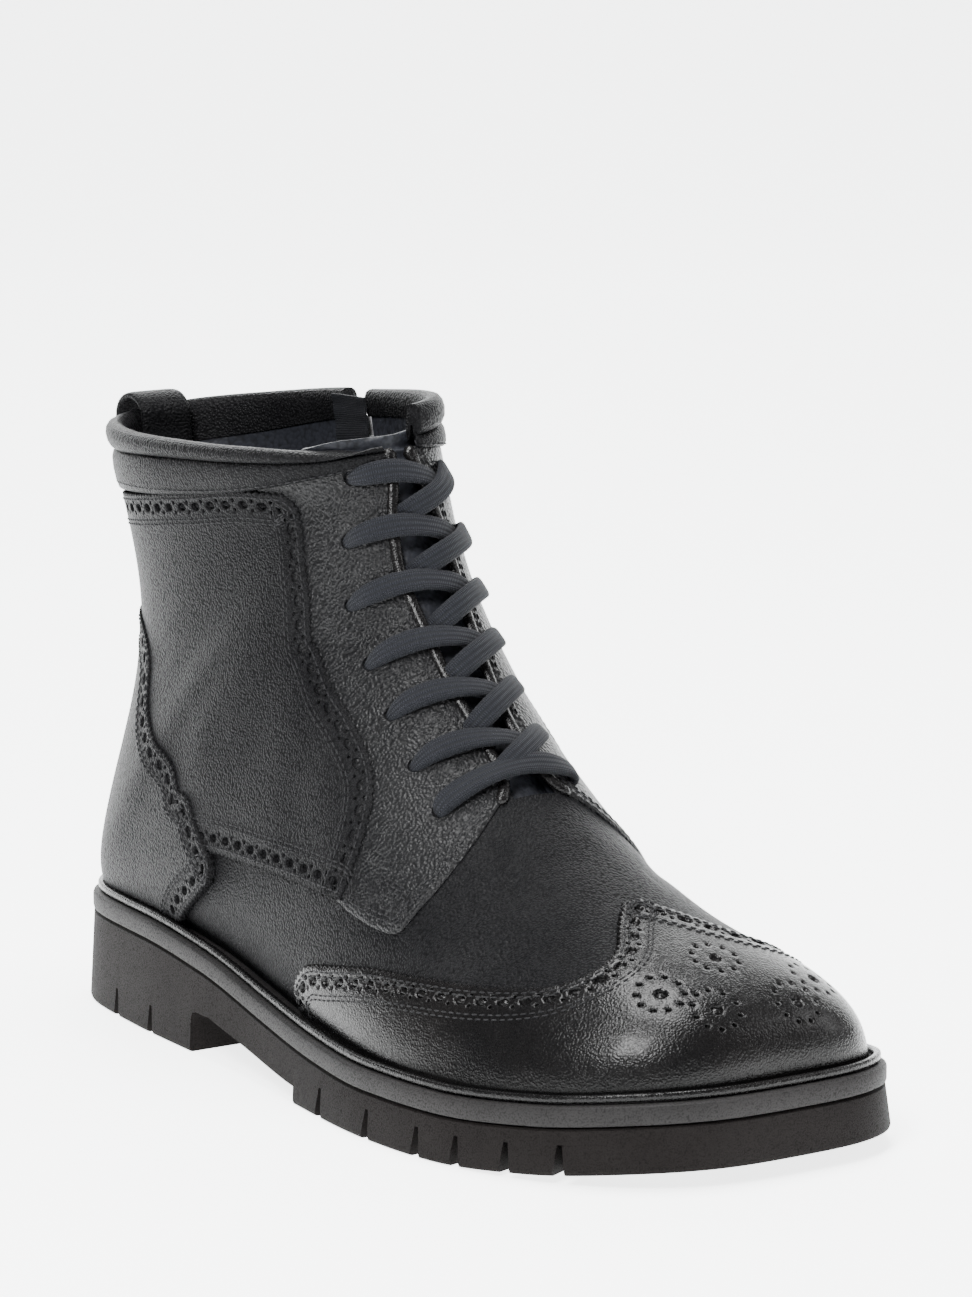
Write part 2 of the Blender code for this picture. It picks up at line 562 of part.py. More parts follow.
class Boot:
    """Builds every piece of the boot into its collection."""

    def __init__(self) -> None:
        self.home = new_collection("brogue_boot")
        self.tools = new_collection("brogue_boot_cutters")
        self.facets = Facets()
        self.outline = Outline(self.facets)
        self.leather = material("black_leather", (0.012, 0.012, 0.013), 0.42)
        self.grained = material("grained_leather", (0.014, 0.014, 0.015), 0.38)
        self.glossy = material("glossy_leather", (0.010, 0.010, 0.011), 0.25)
        self.rubber = material("sole_rubber", (0.016, 0.014, 0.013), 0.75)
        self.ledge = material("ledge_rubber", (0.030, 0.029, 0.029), 0.55)
        self.lining = material("lining_leather", (0.020, 0.021, 0.026), 0.50)
        self.cotton = material("waxed_cotton", (0.012, 0.013, 0.018), 0.80)
        self.steel = material("dark_steel", (0.120, 0.120, 0.125), 0.35, 1.0)
        self.floor_cut = self.below_ledge()

    def below_ledge(self) -> bpy.types.Object:
        """A cutter that takes away all that lies below the ledge's top."""
        steps = np.linspace(-0.05, SOLE_LENGTH + 0.05, 60)
        line = [(SOLE_LENGTH / 2 - place, float(ledge_top(place)) + CLEARANCE) for place in steps]
        line += [(line[-1][0], -0.05), (line[0][0], -0.05)]
        return cutter(prism("below_ledge", line, -BALL_WIDTH, BALL_WIDTH, self.tools))

    def finish(self, item: bpy.types.Object, look: bpy.types.Material) -> bpy.types.Object:
        """Give a piece its material."""
        item.data.materials.clear()
        item.data.materials.append(look)
        return item

    def outsole(self) -> None:
        """The lugged rubber unit: flat heel and forefoot, arch, toe spring and notched sides."""
        item = stack("outsole", self.outline, [
            (LEDGE_REACH + SOLE_FLARE, ground),
            (LEDGE_REACH - CLEARANCE, lambda place: ledge_top(place) - LEDGE_THICKNESS - CLEARANCE),
        ], self.home)
        half = SOLE_LENGTH / 2
        arch = [(half - HEEL_LENGTH, -0.02), (half - HEEL_LENGTH, ARCH_CLEARANCE),
                (half - HEEL_LENGTH * 1.12, ARCH_CLEARANCE)]
        rise = ARCH_CLEARANCE - TREAD_DEPTH
        for share in (0.25, 0.45, 0.65, 0.85, 1.0):
            place = HEEL_LENGTH * 1.12 + (TREAD_START - HEEL_LENGTH * 1.12) * share
            arch.append((half - place, TREAD_DEPTH + rise * (1 - share) ** 1.3))
        arch.append((half - TREAD_START - NOTCH_FOOT, -0.02))
        boolean(item, cutter(prism("arch_cut", arch, -BALL_WIDTH, BALL_WIDTH, self.tools)), "DIFFERENCE")
        ring = self.outline.ring(LEDGE_REACH + SOLE_FLARE)
        for side, sign in (("outer", -1), ("inner", 1)):
            for index, share in enumerate(HEEL_NOTCHES + FOREFOOT_NOTCHES):
                self.notch(item, f"notch_{side}_{index}", ring, share * SOLE_LENGTH, sign)
        self.finish(item, self.rubber)

    def notch(self, item: bpy.types.Object, name: str, ring: np.ndarray, place: float, sign: int) -> None:
        """Cut one wedge into the sole's side, square to its edge and wider at the ground."""
        y = SOLE_LENGTH / 2 - place
        side = ring[:Outline.SIDES + 1] if sign < 0 else np.vstack([ring[Outline.SIDES:], ring[:1]])[::-1]
        near = int(np.abs(side[:, 1] - y).argmin())
        near = min(max(near, 1), len(side) - 2)
        along = Vector((*(side[near + 1] - side[near - 1]), 0)).normalized()
        inward = Vector((-sign, 0, 0))
        inward = (inward - along * inward.dot(along)).normalized()
        edge = Vector((float(np.interp(-y, -side[:, 1], side[:, 0])), y, 0))
        low = float(ground(place))
        points = []
        for depth in (-0.006, NOTCH_REACH):
            for z, half in ((low - 0.004, NOTCH_FOOT * 0.72), (low + NOTCH_HEIGHT, NOTCH_TOP / 2)):
                for move in (-half, half):
                    points.append(edge + inward * depth + along * move + Vector((0, 0, z)))
        faces = [(0, 1, 3, 2), (4, 6, 7, 5), (0, 4, 5, 1), (2, 3, 7, 6), (0, 2, 6, 4), (1, 5, 7, 3)]
        tool = add_mesh(name, points, faces, self.tools)
        turn_outward(tool)
        boolean(item, cutter(tool), "DIFFERENCE")

    def midsole(self) -> None:
        """The ledge band that the welt and the upper stand on."""
        item = stack("midsole", self.outline, [
            (LEDGE_REACH, lambda place: ledge_top(place) - LEDGE_THICKNESS),
            (LEDGE_REACH, lambda place: ledge_top(place) - LEDGE_BEVEL),
            (LEDGE_REACH - LEDGE_BEVEL, ledge_top),
        ], self.home)
        self.finish(item, self.ledge)

    def welt(self) -> None:
        """The glossy strip in the groove round the upper."""
        base = WELT_GROOVE
        item = stack("welt", self.outline, [
            (base, lambda place: ledge_top(place) + CLEARANCE),
            (base + WELT_WIDTH, lambda place: ledge_top(place) + CLEARANCE),
            (base + WELT_WIDTH * 0.8, lambda place: ledge_top(place) + CLEARANCE + WELT_HEIGHT),
            (base + WELT_WIDTH * 0.2, lambda place: ledge_top(place) + CLEARANCE + WELT_HEIGHT),
        ], self.home, ring=True)
        self.finish(item, self.glossy)

    def insole(self) -> None:
        """The board that lies inside the upper on the ledge's top."""
        inside = -(WALL + 6 * CLEARANCE)
        item = stack("insole", self.outline, [
            (inside, lambda place: ledge_top(place) + CLEARANCE),
            (inside, lambda place: ledge_top(place) + CLEARANCE + INSOLE_THICKNESS),
        ], self.home)
        self.finish(item, self.lining)

    def upper(self) -> None:
        """The hollow leather wall with its throat and its zip slot, cut off at the ledge."""
        throat = [(u, 0.5 - THROAT_HALF) for u in (19.3, THROAT_ROW)]
        throat += [(THROAT_ROW, 0.5 + THROAT_HALF), (20.8, 0.5 + THROAT_HALF)]
        slot = [(20.45, ZIP_COLUMN - ZIP_HALF), (ZIP_ROW, ZIP_COLUMN - ZIP_HALF),
                (ZIP_ROW, ZIP_COLUMN + ZIP_HALF), (20.4, ZIP_COLUMN + ZIP_HALF)]
        collar = [point for point in COLLAR if point[1] < 0.45]
        collar_inner = mirrored(COLLAR_INNER)[::-1]
        front = [point for point in collar_inner if 0.55 < point[1] < ZIP_COLUMN - ZIP_HALF - 0.005]
        back = [point for point in collar_inner if point[1] > ZIP_COLUMN + ZIP_HALF + 0.005]
        outline = collar + throat + front + slot + back + [(0.0, 1.0), (0.0, 0.0)]
        self.panel("upper", outline, 0.0, WALL, self.leather, gap=0.0, side=-1, to_ledge=True)

    def panel(self, name: str, outline: list, low: float, thickness: float,
              look: bpy.types.Material, gap: float = SEAM_GAP, side: int = 1,
              to_ledge: bool = False) -> bpy.types.Object:
        """A piece cut to an outline in (u, v), laid on the upper's facets and given its thickness."""
        flat = pull_in([Vector((u * FLAT_U, v * FLAT_V)) for u, v in outline], gap)
        rows = [u * FLAT_U for u in self.facets.rows]
        columns = sorted({v * FLAT_V for v in self.facets.columns} | {(v - 1) * FLAT_V for v in self.facets.columns})
        reach = [min(p.x for p in flat), max(p.x for p in flat), min(p.y for p in flat), max(p.y for p in flat)]
        rows = self.around(rows, reach[0], reach[1])
        columns = self.around(columns, reach[2], reach[3])
        points = list(flat)
        edges = []
        base = len(points)
        for x in rows:
            points += [Vector((x, y)) for y in columns]
        wide = len(columns)
        for i in range(len(rows)):
            for j in range(wide):
                here = base + i * wide + j
                if j + 1 < wide:
                    edges.append((here, here + 1))
                if i + 1 < len(rows):
                    edges.append((here, here + wide))
                if i + 1 < len(rows) and j + 1 < wide:
                    middle = (columns[j] + columns[j + 1]) / 2 / FLAT_V
                    inner_side = middle > 0.5 or middle < 0
                    edges.append((here + 1, here + wide) if inner_side else (here, here + wide + 1))
        made = delaunay_2d_cdt(points, edges, [list(range(len(flat)))], 1, 1e-6)
        verts = []
        for p in made[0]:
            u, v = p.x / FLAT_U, p.y / FLAT_V
            verts.append(self.facets.place(u, v, low))
        inside = [tuple(face) for face, source in zip(made[2], made[5]) if source]
        item = add_mesh(name, verts, inside, self.home)
        work = bmesh.new()
        work.from_mesh(item.data)
        if to_ledge:
            self.trim(work)
        bmesh.ops.delete(work, geom=[p for p in work.verts if not p.link_faces], context="VERTS")
        bmesh.ops.remove_doubles(work, verts=work.verts, dist=0.00005)
        bmesh.ops.dissolve_degenerate(work, edges=work.edges, dist=0.00001)
        bmesh.ops.recalc_face_normals(work, faces=work.faces)
        work.to_mesh(item.data)
        work.free()
        self.face_outward_near(item, low)
        thicken(item, thickness, side)
        if to_ledge:
            boolean(item, self.floor_cut, "DIFFERENCE")
        return self.finish(item, look)

    @staticmethod
    def trim(work: bmesh.types.BMesh) -> None:
        """Cut an open surface off just below the ledge's top, by laying that top flat for the cut."""
        for point in work.verts:
            point.co.z -= float(ledge_top(SOLE_LENGTH / 2 - point.co.y))
        bmesh.ops.bisect_plane(work, geom=work.verts[:] + work.edges[:] + work.faces[:], dist=0.00002,
                               plane_co=(0, 0, -SINK), plane_no=(0, 0, 1), clear_inner=True)
        for point in work.verts:
            point.co.z += float(ledge_top(SOLE_LENGTH / 2 - point.co.y))

    @staticmethod
    def around(lines: list, low: float, high: float) -> list:
        """The grid lines that pass through a range, with one more on each side."""
        lines = sorted(lines)
        first = max([k for k, x in enumerate(lines) if x <= low], default=0)
        last = min([k for k, x in enumerate(lines) if x >= high], default=len(lines) - 1)
        return lines[first:last + 1]

    def face_outward_near(self, item: bpy.types.Object, low: float) -> None:
        """Flip a panel whose faces look into the foot, judged by the last's own normals."""
        facets = self.facets
        points = (facets.points + facets.normals * low).reshape(-1, 3)
        normals = facets.normals.reshape(-1, 3)
        total = 0.0
        for face in item.data.polygons:
            near = int(((points - np.array(face.center)) ** 2).sum(1).argmin())
            total += float(np.dot(normals[near], face.normal)) * face.area
        if total < 0:
            item.data.flip_normals()

    def toe_cap(self) -> None:
        """The wing cap over the toe, with its point on the ridge and a wing along each side."""
        outline = list(CAP_EDGE) + [(0.0, 0.0), (0.0, 1.0)] + mirrored(CAP_EDGE)[::-1]
        self.panel("toe_cap", outline, CLEARANCE, PANEL, self.glossy, gap=0.0, to_ledge=True)

    def counter(self) -> None:
        """The heel patch, one piece round the back seam, split below where the two sides of the sole part."""
        outer = list(COUNTER_EDGE + COUNTER_FRONT) + [(SEAM_ROW, 0.004)]
        inner = [(u, -v) for u, v in reversed(outer[1:])]
        self.panel("counter", outer + inner, CLEARANCE, PANEL, self.leather, to_ledge=True)

    def facings(self) -> None:
        """The grained lacing panels on each side of the throat."""
        outline = list(THROAT_EDGE + FACING_FRONT + QUARTER_FRONT) + list(CUFF_LOW[4:5])
        for name, line in (("facing_outer", outline), ("facing_inner", mirrored(outline))):
            self.panel(name, line, CLEARANCE, PANEL, self.grained)

    def rear_quarters(self) -> None:
        """The panels between facing, cuff and counter. The inner one is slotted for the zip."""
        top = list(CUFF_LOW[:4])
        front = list(QUARTER_FRONT[::-1]) + list(QUARTER_LOW[::-1])
        edge = list(COUNTER_EDGE[::-1])
        self.panel("rear_quarter_outer", top + front + edge, CLEARANCE, PANEL, self.leather)
        gap = ZIP_HALF
        behind, ahead = ZIP_COLUMN + gap, ZIP_COLUMN - gap
        slot = [(19.1, behind), (ZIP_ROW - 0.1, behind), (ZIP_ROW - 0.1, ahead), (19.1, ahead)]
        top = list(CUFF_LOW_INNER)
        inner = mirrored(top[:2]) + slot + mirrored(top[4:6] + front + edge)
        self.panel("rear_quarter_inner", inner, CLEARANCE, PANEL, self.leather)

    def cuffs(self) -> None:
        """The band round the shaft's top and the padded roll above it, parted at the zip and the throat."""
        back, front = 1 - ZIP_COLUMN - ZIP_HALF, 1 - ZIP_COLUMN + ZIP_HALF
        for name, low, low_inner, high, high_inner, thick in (
            ("cuff", CUFF_LOW, CUFF_LOW_INNER, ROLL_LOW, ROLL_LOW_INNER, PANEL),
            ("collar_roll", ROLL_LOW, ROLL_LOW_INNER, COLLAR, COLLAR_INNER, ROLL),
        ):
            below = [(u, -v) for u, v in low_inner[1:] if v <= back + 0.001]
            over = [(u, -v) for u, v in high_inner[1:] if v <= back + 0.001]
            outline = below[::-1] + list(low) + list(high[::-1]) + over
            self.panel(name, outline, CLEARANCE, thick, self.leather, gap=BAND_GAP)
            below = mirrored([point for point in low_inner if point[1] >= front - 0.001])
            over = mirrored([point for point in high_inner if point[1] >= front - 0.001])
            self.panel(name + "_front", below + over[::-1], CLEARANCE, thick, self.leather, gap=BAND_GAP)

    def tongue(self) -> None:
        """The tongue that lies behind the throat, from the vamp up to the collar."""
        outline = [(6.9, 0.44), (6.9, 0.56), (8.5, 0.575), (11, 0.60), (14, 0.61), (19.6, 0.61), (19.6, 0.39),
                   (14, 0.39), (11, 0.40), (8.5, 0.425)]
        depth = WALL + 4 * CLEARANCE + TONGUE
        self.panel("tongue", outline, -depth, TONGUE, self.lining, gap=0.0)

    def pull_loop(self) -> None:
        """The folded strap at the back of the collar, its legs inside and outside the wall."""
        spot = self.facets.place(COLLAR[0][0], 0.0, 0.0)
        rim = [self.facets.place(COLLAR[0][0], v, 0.0) for v in np.linspace(-0.1, 0.1, 81)]
        curve = spot.y - min(point.y for point in rim if abs(point.x - spot.x) < LOOP_WIDTH / 2 + CLEARANCE)
        outside = spot.y + ROLL + 4 * CLEARANCE
        inside = spot.y - curve - WALL - 4 * CLEARANCE
        middle, reach = (outside + inside) / 2, (outside - inside) / 2
        crest = spot.z + LOOP_HEIGHT - reach - LOOP_STRAP
        foot = spot.z - LOOP_LEG
        turn = [math.pi * k / 8 for k in range(9)]
        outer = [(middle + (reach + LOOP_STRAP) * math.cos(a), crest + (reach + LOOP_STRAP) * math.sin(a)) for a in turn]
        inner = [(middle + reach * math.cos(a), crest + reach * math.sin(a)) for a in reversed(turn)]
        below = self.facets.place(19.2, 0.0, 0.0)
        lean = (spot.y - below.y) / (spot.z - below.z) * LOOP_LEG + CLEARANCE
        line = ([(outside + LOOP_STRAP - lean / 2, foot)] + outer + [(inside - LOOP_STRAP - lean, foot)]
                + [(inside - lean, foot)] + inner + [(outside - lean / 2, foot)])
        item = prism("pull_loop", line, spot.x - LOOP_WIDTH / 2, spot.x + LOOP_WIDTH / 2, self.home)
        self.finish(item, self.leather)

    def band(self, name: str, start: tuple, end: tuple, lift: float, home: bpy.types.Collection) -> bpy.types.Object:
        """A flat stretch of lace from one (u, v) to another, at a height over the facings."""
        count = 4
        points, faces = [], []
        for k in range(count + 1):
            t = k / count
            u = start[0] + (end[0] - start[0]) * t
            v = start[1] + (end[1] - start[1]) * t
            here = self.facets.place(u, v, lift)
            ahead = self.facets.place(u + (end[0] - start[0]) * 0.05, v + (end[1] - start[1]) * 0.05, lift)
            run = (ahead - here).normalized()
            out = self.facets.place(u, v, lift + 0.01) - here
            side = run.cross(out.normalized()).normalized()
            points += [here - side * LACE_WIDTH / 2, here + side * LACE_WIDTH / 2]
            if k:
                faces.append((2 * k - 2, 2 * k - 1, 2 * k + 1, 2 * k))
        item = add_mesh(name, points, faces, home)
        self.face_outward_near(item, lift)
        thicken(item, LACE_THICKNESS, 1)
        return item

    def laces(self) -> None:
        """The straight bar at the throat's foot and a joined crossing at each row above it."""
        first = LACE_ROWS[0]
        bar = self.band("lace_bar", (first, OUTER_HOLES[0]), (first, INNER_HOLES[0]), LACE_LIFT, self.home)
        self.finish(bar, self.cotton)
        for k in range(1, len(LACE_ROWS)):
            u = LACE_ROWS[k]
            drop = (u - LACE_ROWS[k - 1]) * 0.5
            item = self.band(f"lace_cross_{k}", (u, OUTER_HOLES[k]), (u - drop, 0.514), LACE_LIFT, self.home)
            other = self.band(f"lace_over_{k}", (u, INNER_HOLES[k]), (u - drop, 0.486),
                              LACE_LIFT + LACE_THICKNESS / 2, self.tools)
            boolean(item, cutter(other), "UNION")
            self.finish(item, self.cotton)

    def zip(self) -> None:
        """The zip: tape with its chain in the slot, slider at the top and a pull tab that hangs from it."""
        top = ZIP_TOP
        behind, ahead = ZIP_COLUMN + ZIP_HALF * 1.5, ZIP_COLUMN - ZIP_HALF * 1.5
        depth = WALL + 6 * CLEARANCE + ZIP_TAPE
        tape = self.panel("zip_tape", [(ZIP_ROW - 0.3, ahead), (ZIP_ROW - 0.3, behind), (top, behind), (top, ahead)],
                          -depth, ZIP_TAPE, self.cotton, gap=0.0)
        half = ZIP_CHAIN / FLAT_V / 2
        chain = self.panel("zip_chain", [(ZIP_ROW, ZIP_COLUMN - half), (ZIP_ROW, ZIP_COLUMN + half),
                                         (top, ZIP_COLUMN + half), (top, ZIP_COLUMN - half)],
                           -depth + ZIP_TAPE / 2, ZIP_TAPE / 2 + ZIP_CHAIN_RISE, self.steel, gap=0.0)
        self.home.objects.unlink(chain)
        self.tools.objects.link(chain)
        boolean(tape, cutter(chain), "UNION")

        seat = self.facets.frame(SLIDER_ROW, ZIP_COLUMN, ZIP_TAPE + ZIP_CHAIN_RISE - depth + 3 * CLEARANCE)
        slider = self.block("zip_slider", SLIDER_WIDTH, SLIDER_BODY, SLIDER_LENGTH, (0, SLIDER_BODY / 2, 0), seat)
        axis_height = SLIDER_BODY + PULL_BARREL + CLEARANCE
        gap = PULL_WIDTH / 2 + CLEARANCE * 1.3 + EAR_THICKNESS / 2
        for side in (-1, 1):
            ear = self.block(f"slider_ear_{side}", EAR_THICKNESS, EAR_HEIGHT + SLIDER_BODY / 2, 0.004,
                             (side * gap, SLIDER_BODY + EAR_HEIGHT / 2 - SLIDER_BODY / 4, 0), seat)
            self.as_tool(ear)
            boolean(slider, ear, "UNION")
        pin = self.rod("slider_pin", PIN_RADIUS, 2 * gap, (0, axis_height, 0), seat, 12)
        self.as_tool(pin)
        boolean(slider, pin, "UNION")
        self.finish(slider, self.steel)

        barrel = self.rod("zip_pull", PULL_BARREL, PULL_WIDTH, (0, axis_height, 0), seat, 20)
        plate = self.block("pull_plate", PULL_WIDTH, PULL_THICKNESS, PULL_LENGTH,
                           (0, axis_height + PULL_THICKNESS / 2, -PULL_LENGTH / 2 - PULL_BORE), seat)
        self.as_tool(plate)
        boolean(barrel, plate, "UNION")
        bore = self.rod("pull_bore", PULL_BORE, PULL_WIDTH * 1.6, (0, axis_height, 0), seat, 20)
        self.as_tool(bore)
        boolean(barrel, bore, "DIFFERENCE")
        self.finish(barrel, self.steel)

    def as_tool(self, item: bpy.types.Object) -> None:
        """Move an object from the boot to the cutters."""
        self.home.objects.unlink(item)
        self.tools.objects.link(item)
        cutter(item)

    def block(self, name: str, x: float, y: float, z: float, middle: tuple, seat: Matrix) -> bpy.types.Object:
        """A box of those sides, placed in a seat's axes."""
        work = bmesh.new()
        bmesh.ops.create_cube(work, size=1.0)
        bmesh.ops.scale(work, vec=(x, y, z), verts=work.verts)
        return self.placed(name, work, middle, seat)

    def rod(self, name: str, radius: float, length: float, middle: tuple, seat: Matrix, sides: int) -> bpy.types.Object:
        """A round bar along a seat's X axis."""
        work = bmesh.new()
        bmesh.ops.create_cone(work, cap_ends=True, segments=sides, radius1=radius, radius2=radius, depth=length)
        bmesh.ops.rotate(work, verts=work.verts, cent=(0, 0, 0), matrix=Matrix.Rotation(math.pi / 2, 3, "Y"))
        return self.placed(name, work, middle, seat)

    def placed(self, name: str, work: bmesh.types.BMesh, middle: tuple, seat: Matrix) -> bpy.types.Object:
        """An object from a bmesh whose origin is at a point of the seat."""
        mesh = bpy.data.meshes.new(name)
        work.to_mesh(mesh)
        work.free()
        made = bpy.data.objects.new(name, mesh)
        made.matrix_world = seat @ Matrix.Translation(middle)
        self.home.objects.link(made)
        return made

    def build(self) -> None:
        """Make every piece."""
        self.outsole()
        self.midsole()
        self.welt()
        self.insole()
        self.upper()
        self.tongue()
        self.toe_cap()
        self.counter()
        self.facings()
        self.rear_quarters()
        self.cuffs()
        self.pull_loop()
        self.laces()
        self.zip()


def mirrored(line: list) -> list:
    """An edge of the outer side carried over to the inner side."""
    return [(u, 1 - v) for u, v in line]


def pull_in(flat: list, gap: float) -> list:
    """A flat outline, turned anticlockwise and moved inward by a gap corner by corner."""
    if sum(a.x * b.y - b.x * a.y for a, b in zip(flat, flat[1:] + flat[:1])) < 0:
        flat = flat[::-1]
    moved = []
    for before, here, after in zip(flat[-1:] + flat[:-1], flat, flat[1:] + flat[:1]):
        first = (here - before).normalized()
        second = (after - here).normalized()
        one = Vector((-first.y, first.x))
        two = Vector((-second.y, second.x))
        both = one + two
        if both.length < 1e-6:
            moved.append(here + one * gap)
            continue
        both.normalize()
        moved.append(here + both * (gap / max(both.dot(one), 0.4)))
    return moved


clear_scene()
Boot().build()
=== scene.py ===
"""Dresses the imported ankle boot: smooth leather, panels with brogue holes, laces, zip, sole and studio.

The upper is laid out on one smooth surface, the last, whose points are named by (u, v). Row u runs from the
toe's lower edge to the collar, and v runs round the foot from the outer side (0) over the ridge (0.5) to the
inner side (1). Every panel is drawn as an outline in (u, v).
"""

from __future__ import annotations

import json
import logging
import math
from collections import namedtuple
from dataclasses import dataclass, field
from enum import Enum

import bmesh
import bpy
import numpy as np
from mathutils import Matrix, Vector
from mathutils.geometry import delaunay_2d_cdt

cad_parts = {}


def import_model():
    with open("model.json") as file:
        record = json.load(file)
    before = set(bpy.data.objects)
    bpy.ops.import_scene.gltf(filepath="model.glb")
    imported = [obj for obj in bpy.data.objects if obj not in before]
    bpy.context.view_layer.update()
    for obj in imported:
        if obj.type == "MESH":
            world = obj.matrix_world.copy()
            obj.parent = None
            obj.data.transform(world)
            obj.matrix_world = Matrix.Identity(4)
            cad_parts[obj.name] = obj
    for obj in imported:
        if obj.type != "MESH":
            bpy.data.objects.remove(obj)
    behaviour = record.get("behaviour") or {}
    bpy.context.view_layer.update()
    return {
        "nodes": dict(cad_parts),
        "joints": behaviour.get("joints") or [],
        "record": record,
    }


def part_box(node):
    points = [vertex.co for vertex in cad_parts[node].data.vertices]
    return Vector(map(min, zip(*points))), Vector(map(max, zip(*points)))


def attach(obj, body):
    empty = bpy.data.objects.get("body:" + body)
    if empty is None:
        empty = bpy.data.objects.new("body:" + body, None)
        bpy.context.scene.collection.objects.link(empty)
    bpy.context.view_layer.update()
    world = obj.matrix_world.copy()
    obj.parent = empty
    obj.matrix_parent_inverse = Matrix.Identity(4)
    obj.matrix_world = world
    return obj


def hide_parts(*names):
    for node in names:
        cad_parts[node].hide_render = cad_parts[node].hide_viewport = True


log = logging.getLogger("boot")
Array = np.ndarray
MM = 0.001

# Driving sizes
SOLE_LENGTH = 0.304
BALL_WIDTH = 0.109
HEEL_WIDTH = 0.078
COLLAR_WIDTH = 0.069
TOE_HEIGHT = 0.034
INSTEP_HEIGHT = 0.092
SHAFT_HEIGHT = 0.1455
TUCK = 0.009
HEEL_OFFSET = 0.0058

# Sole
HEEL_HEIGHT = 0.028
FOREFOOT_HEIGHT = 0.0132
TOE_SPRING = 0.0047
LEDGE_THICKNESS = 0.006
LEDGE_REACH = 0.0066
LEDGE_BEVEL = 0.0014
SOLE_FLARE = 0.0012
HEEL_LENGTH = 0.092
TREAD_START = 0.1605
TREAD_DEPTH = 0.005
ARCH_CLEARANCE = 0.0125
NOTCH_HEIGHT = 0.0085
NOTCH_REACH = 0.011
NOTCH_TOP = 0.0014
NOTCH_FOOT = 0.0034
HEEL_NOTCHES = (0.133, 0.215)
FOREFOOT_NOTCHES = (0.585, 0.676, 0.753, 0.803, 0.857, 0.907)
WELT_GROOVE = 0.0032
WELT_WIDTH = 0.0022
WELT_HEIGHT = 0.0024
INSOLE_THICKNESS = 0.003

# Leather
WALL = 0.0022

# Zip
SLIDER_LENGTH = 0.010
SLIDER_WIDTH = 0.0076
SLIDER_BODY = 0.0020
EAR_HEIGHT = 0.0038
EAR_THICKNESS = 0.0010
EAR_LENGTH = 0.0040
PIN_RADIUS = 0.0007
PULL_BORE = 0.0011
PULL_BARREL = 0.0019
PULL_LENGTH = 0.019
PULL_WIDTH = 0.0042
PULL_THICKNESS = 0.0013
GRIP_LENGTH = 0.0052

# Places along the sole, as shares of its length, with the share of the drop from heel to forefoot that is
# left there and the share of the toe spring
TOP_LINE = ((0.00, 1.00, 0.0), (0.185, 1.00, 0.0), (0.315, 0.80, 0.0), (0.445, 0.36, 0.0), (0.56, 0.10, 0.0),
            (0.66, 0.00, 0.0), (0.775, 0.00, 0.0), (0.875, 0.00, 0.35), (1.00, 0.00, 1.1))

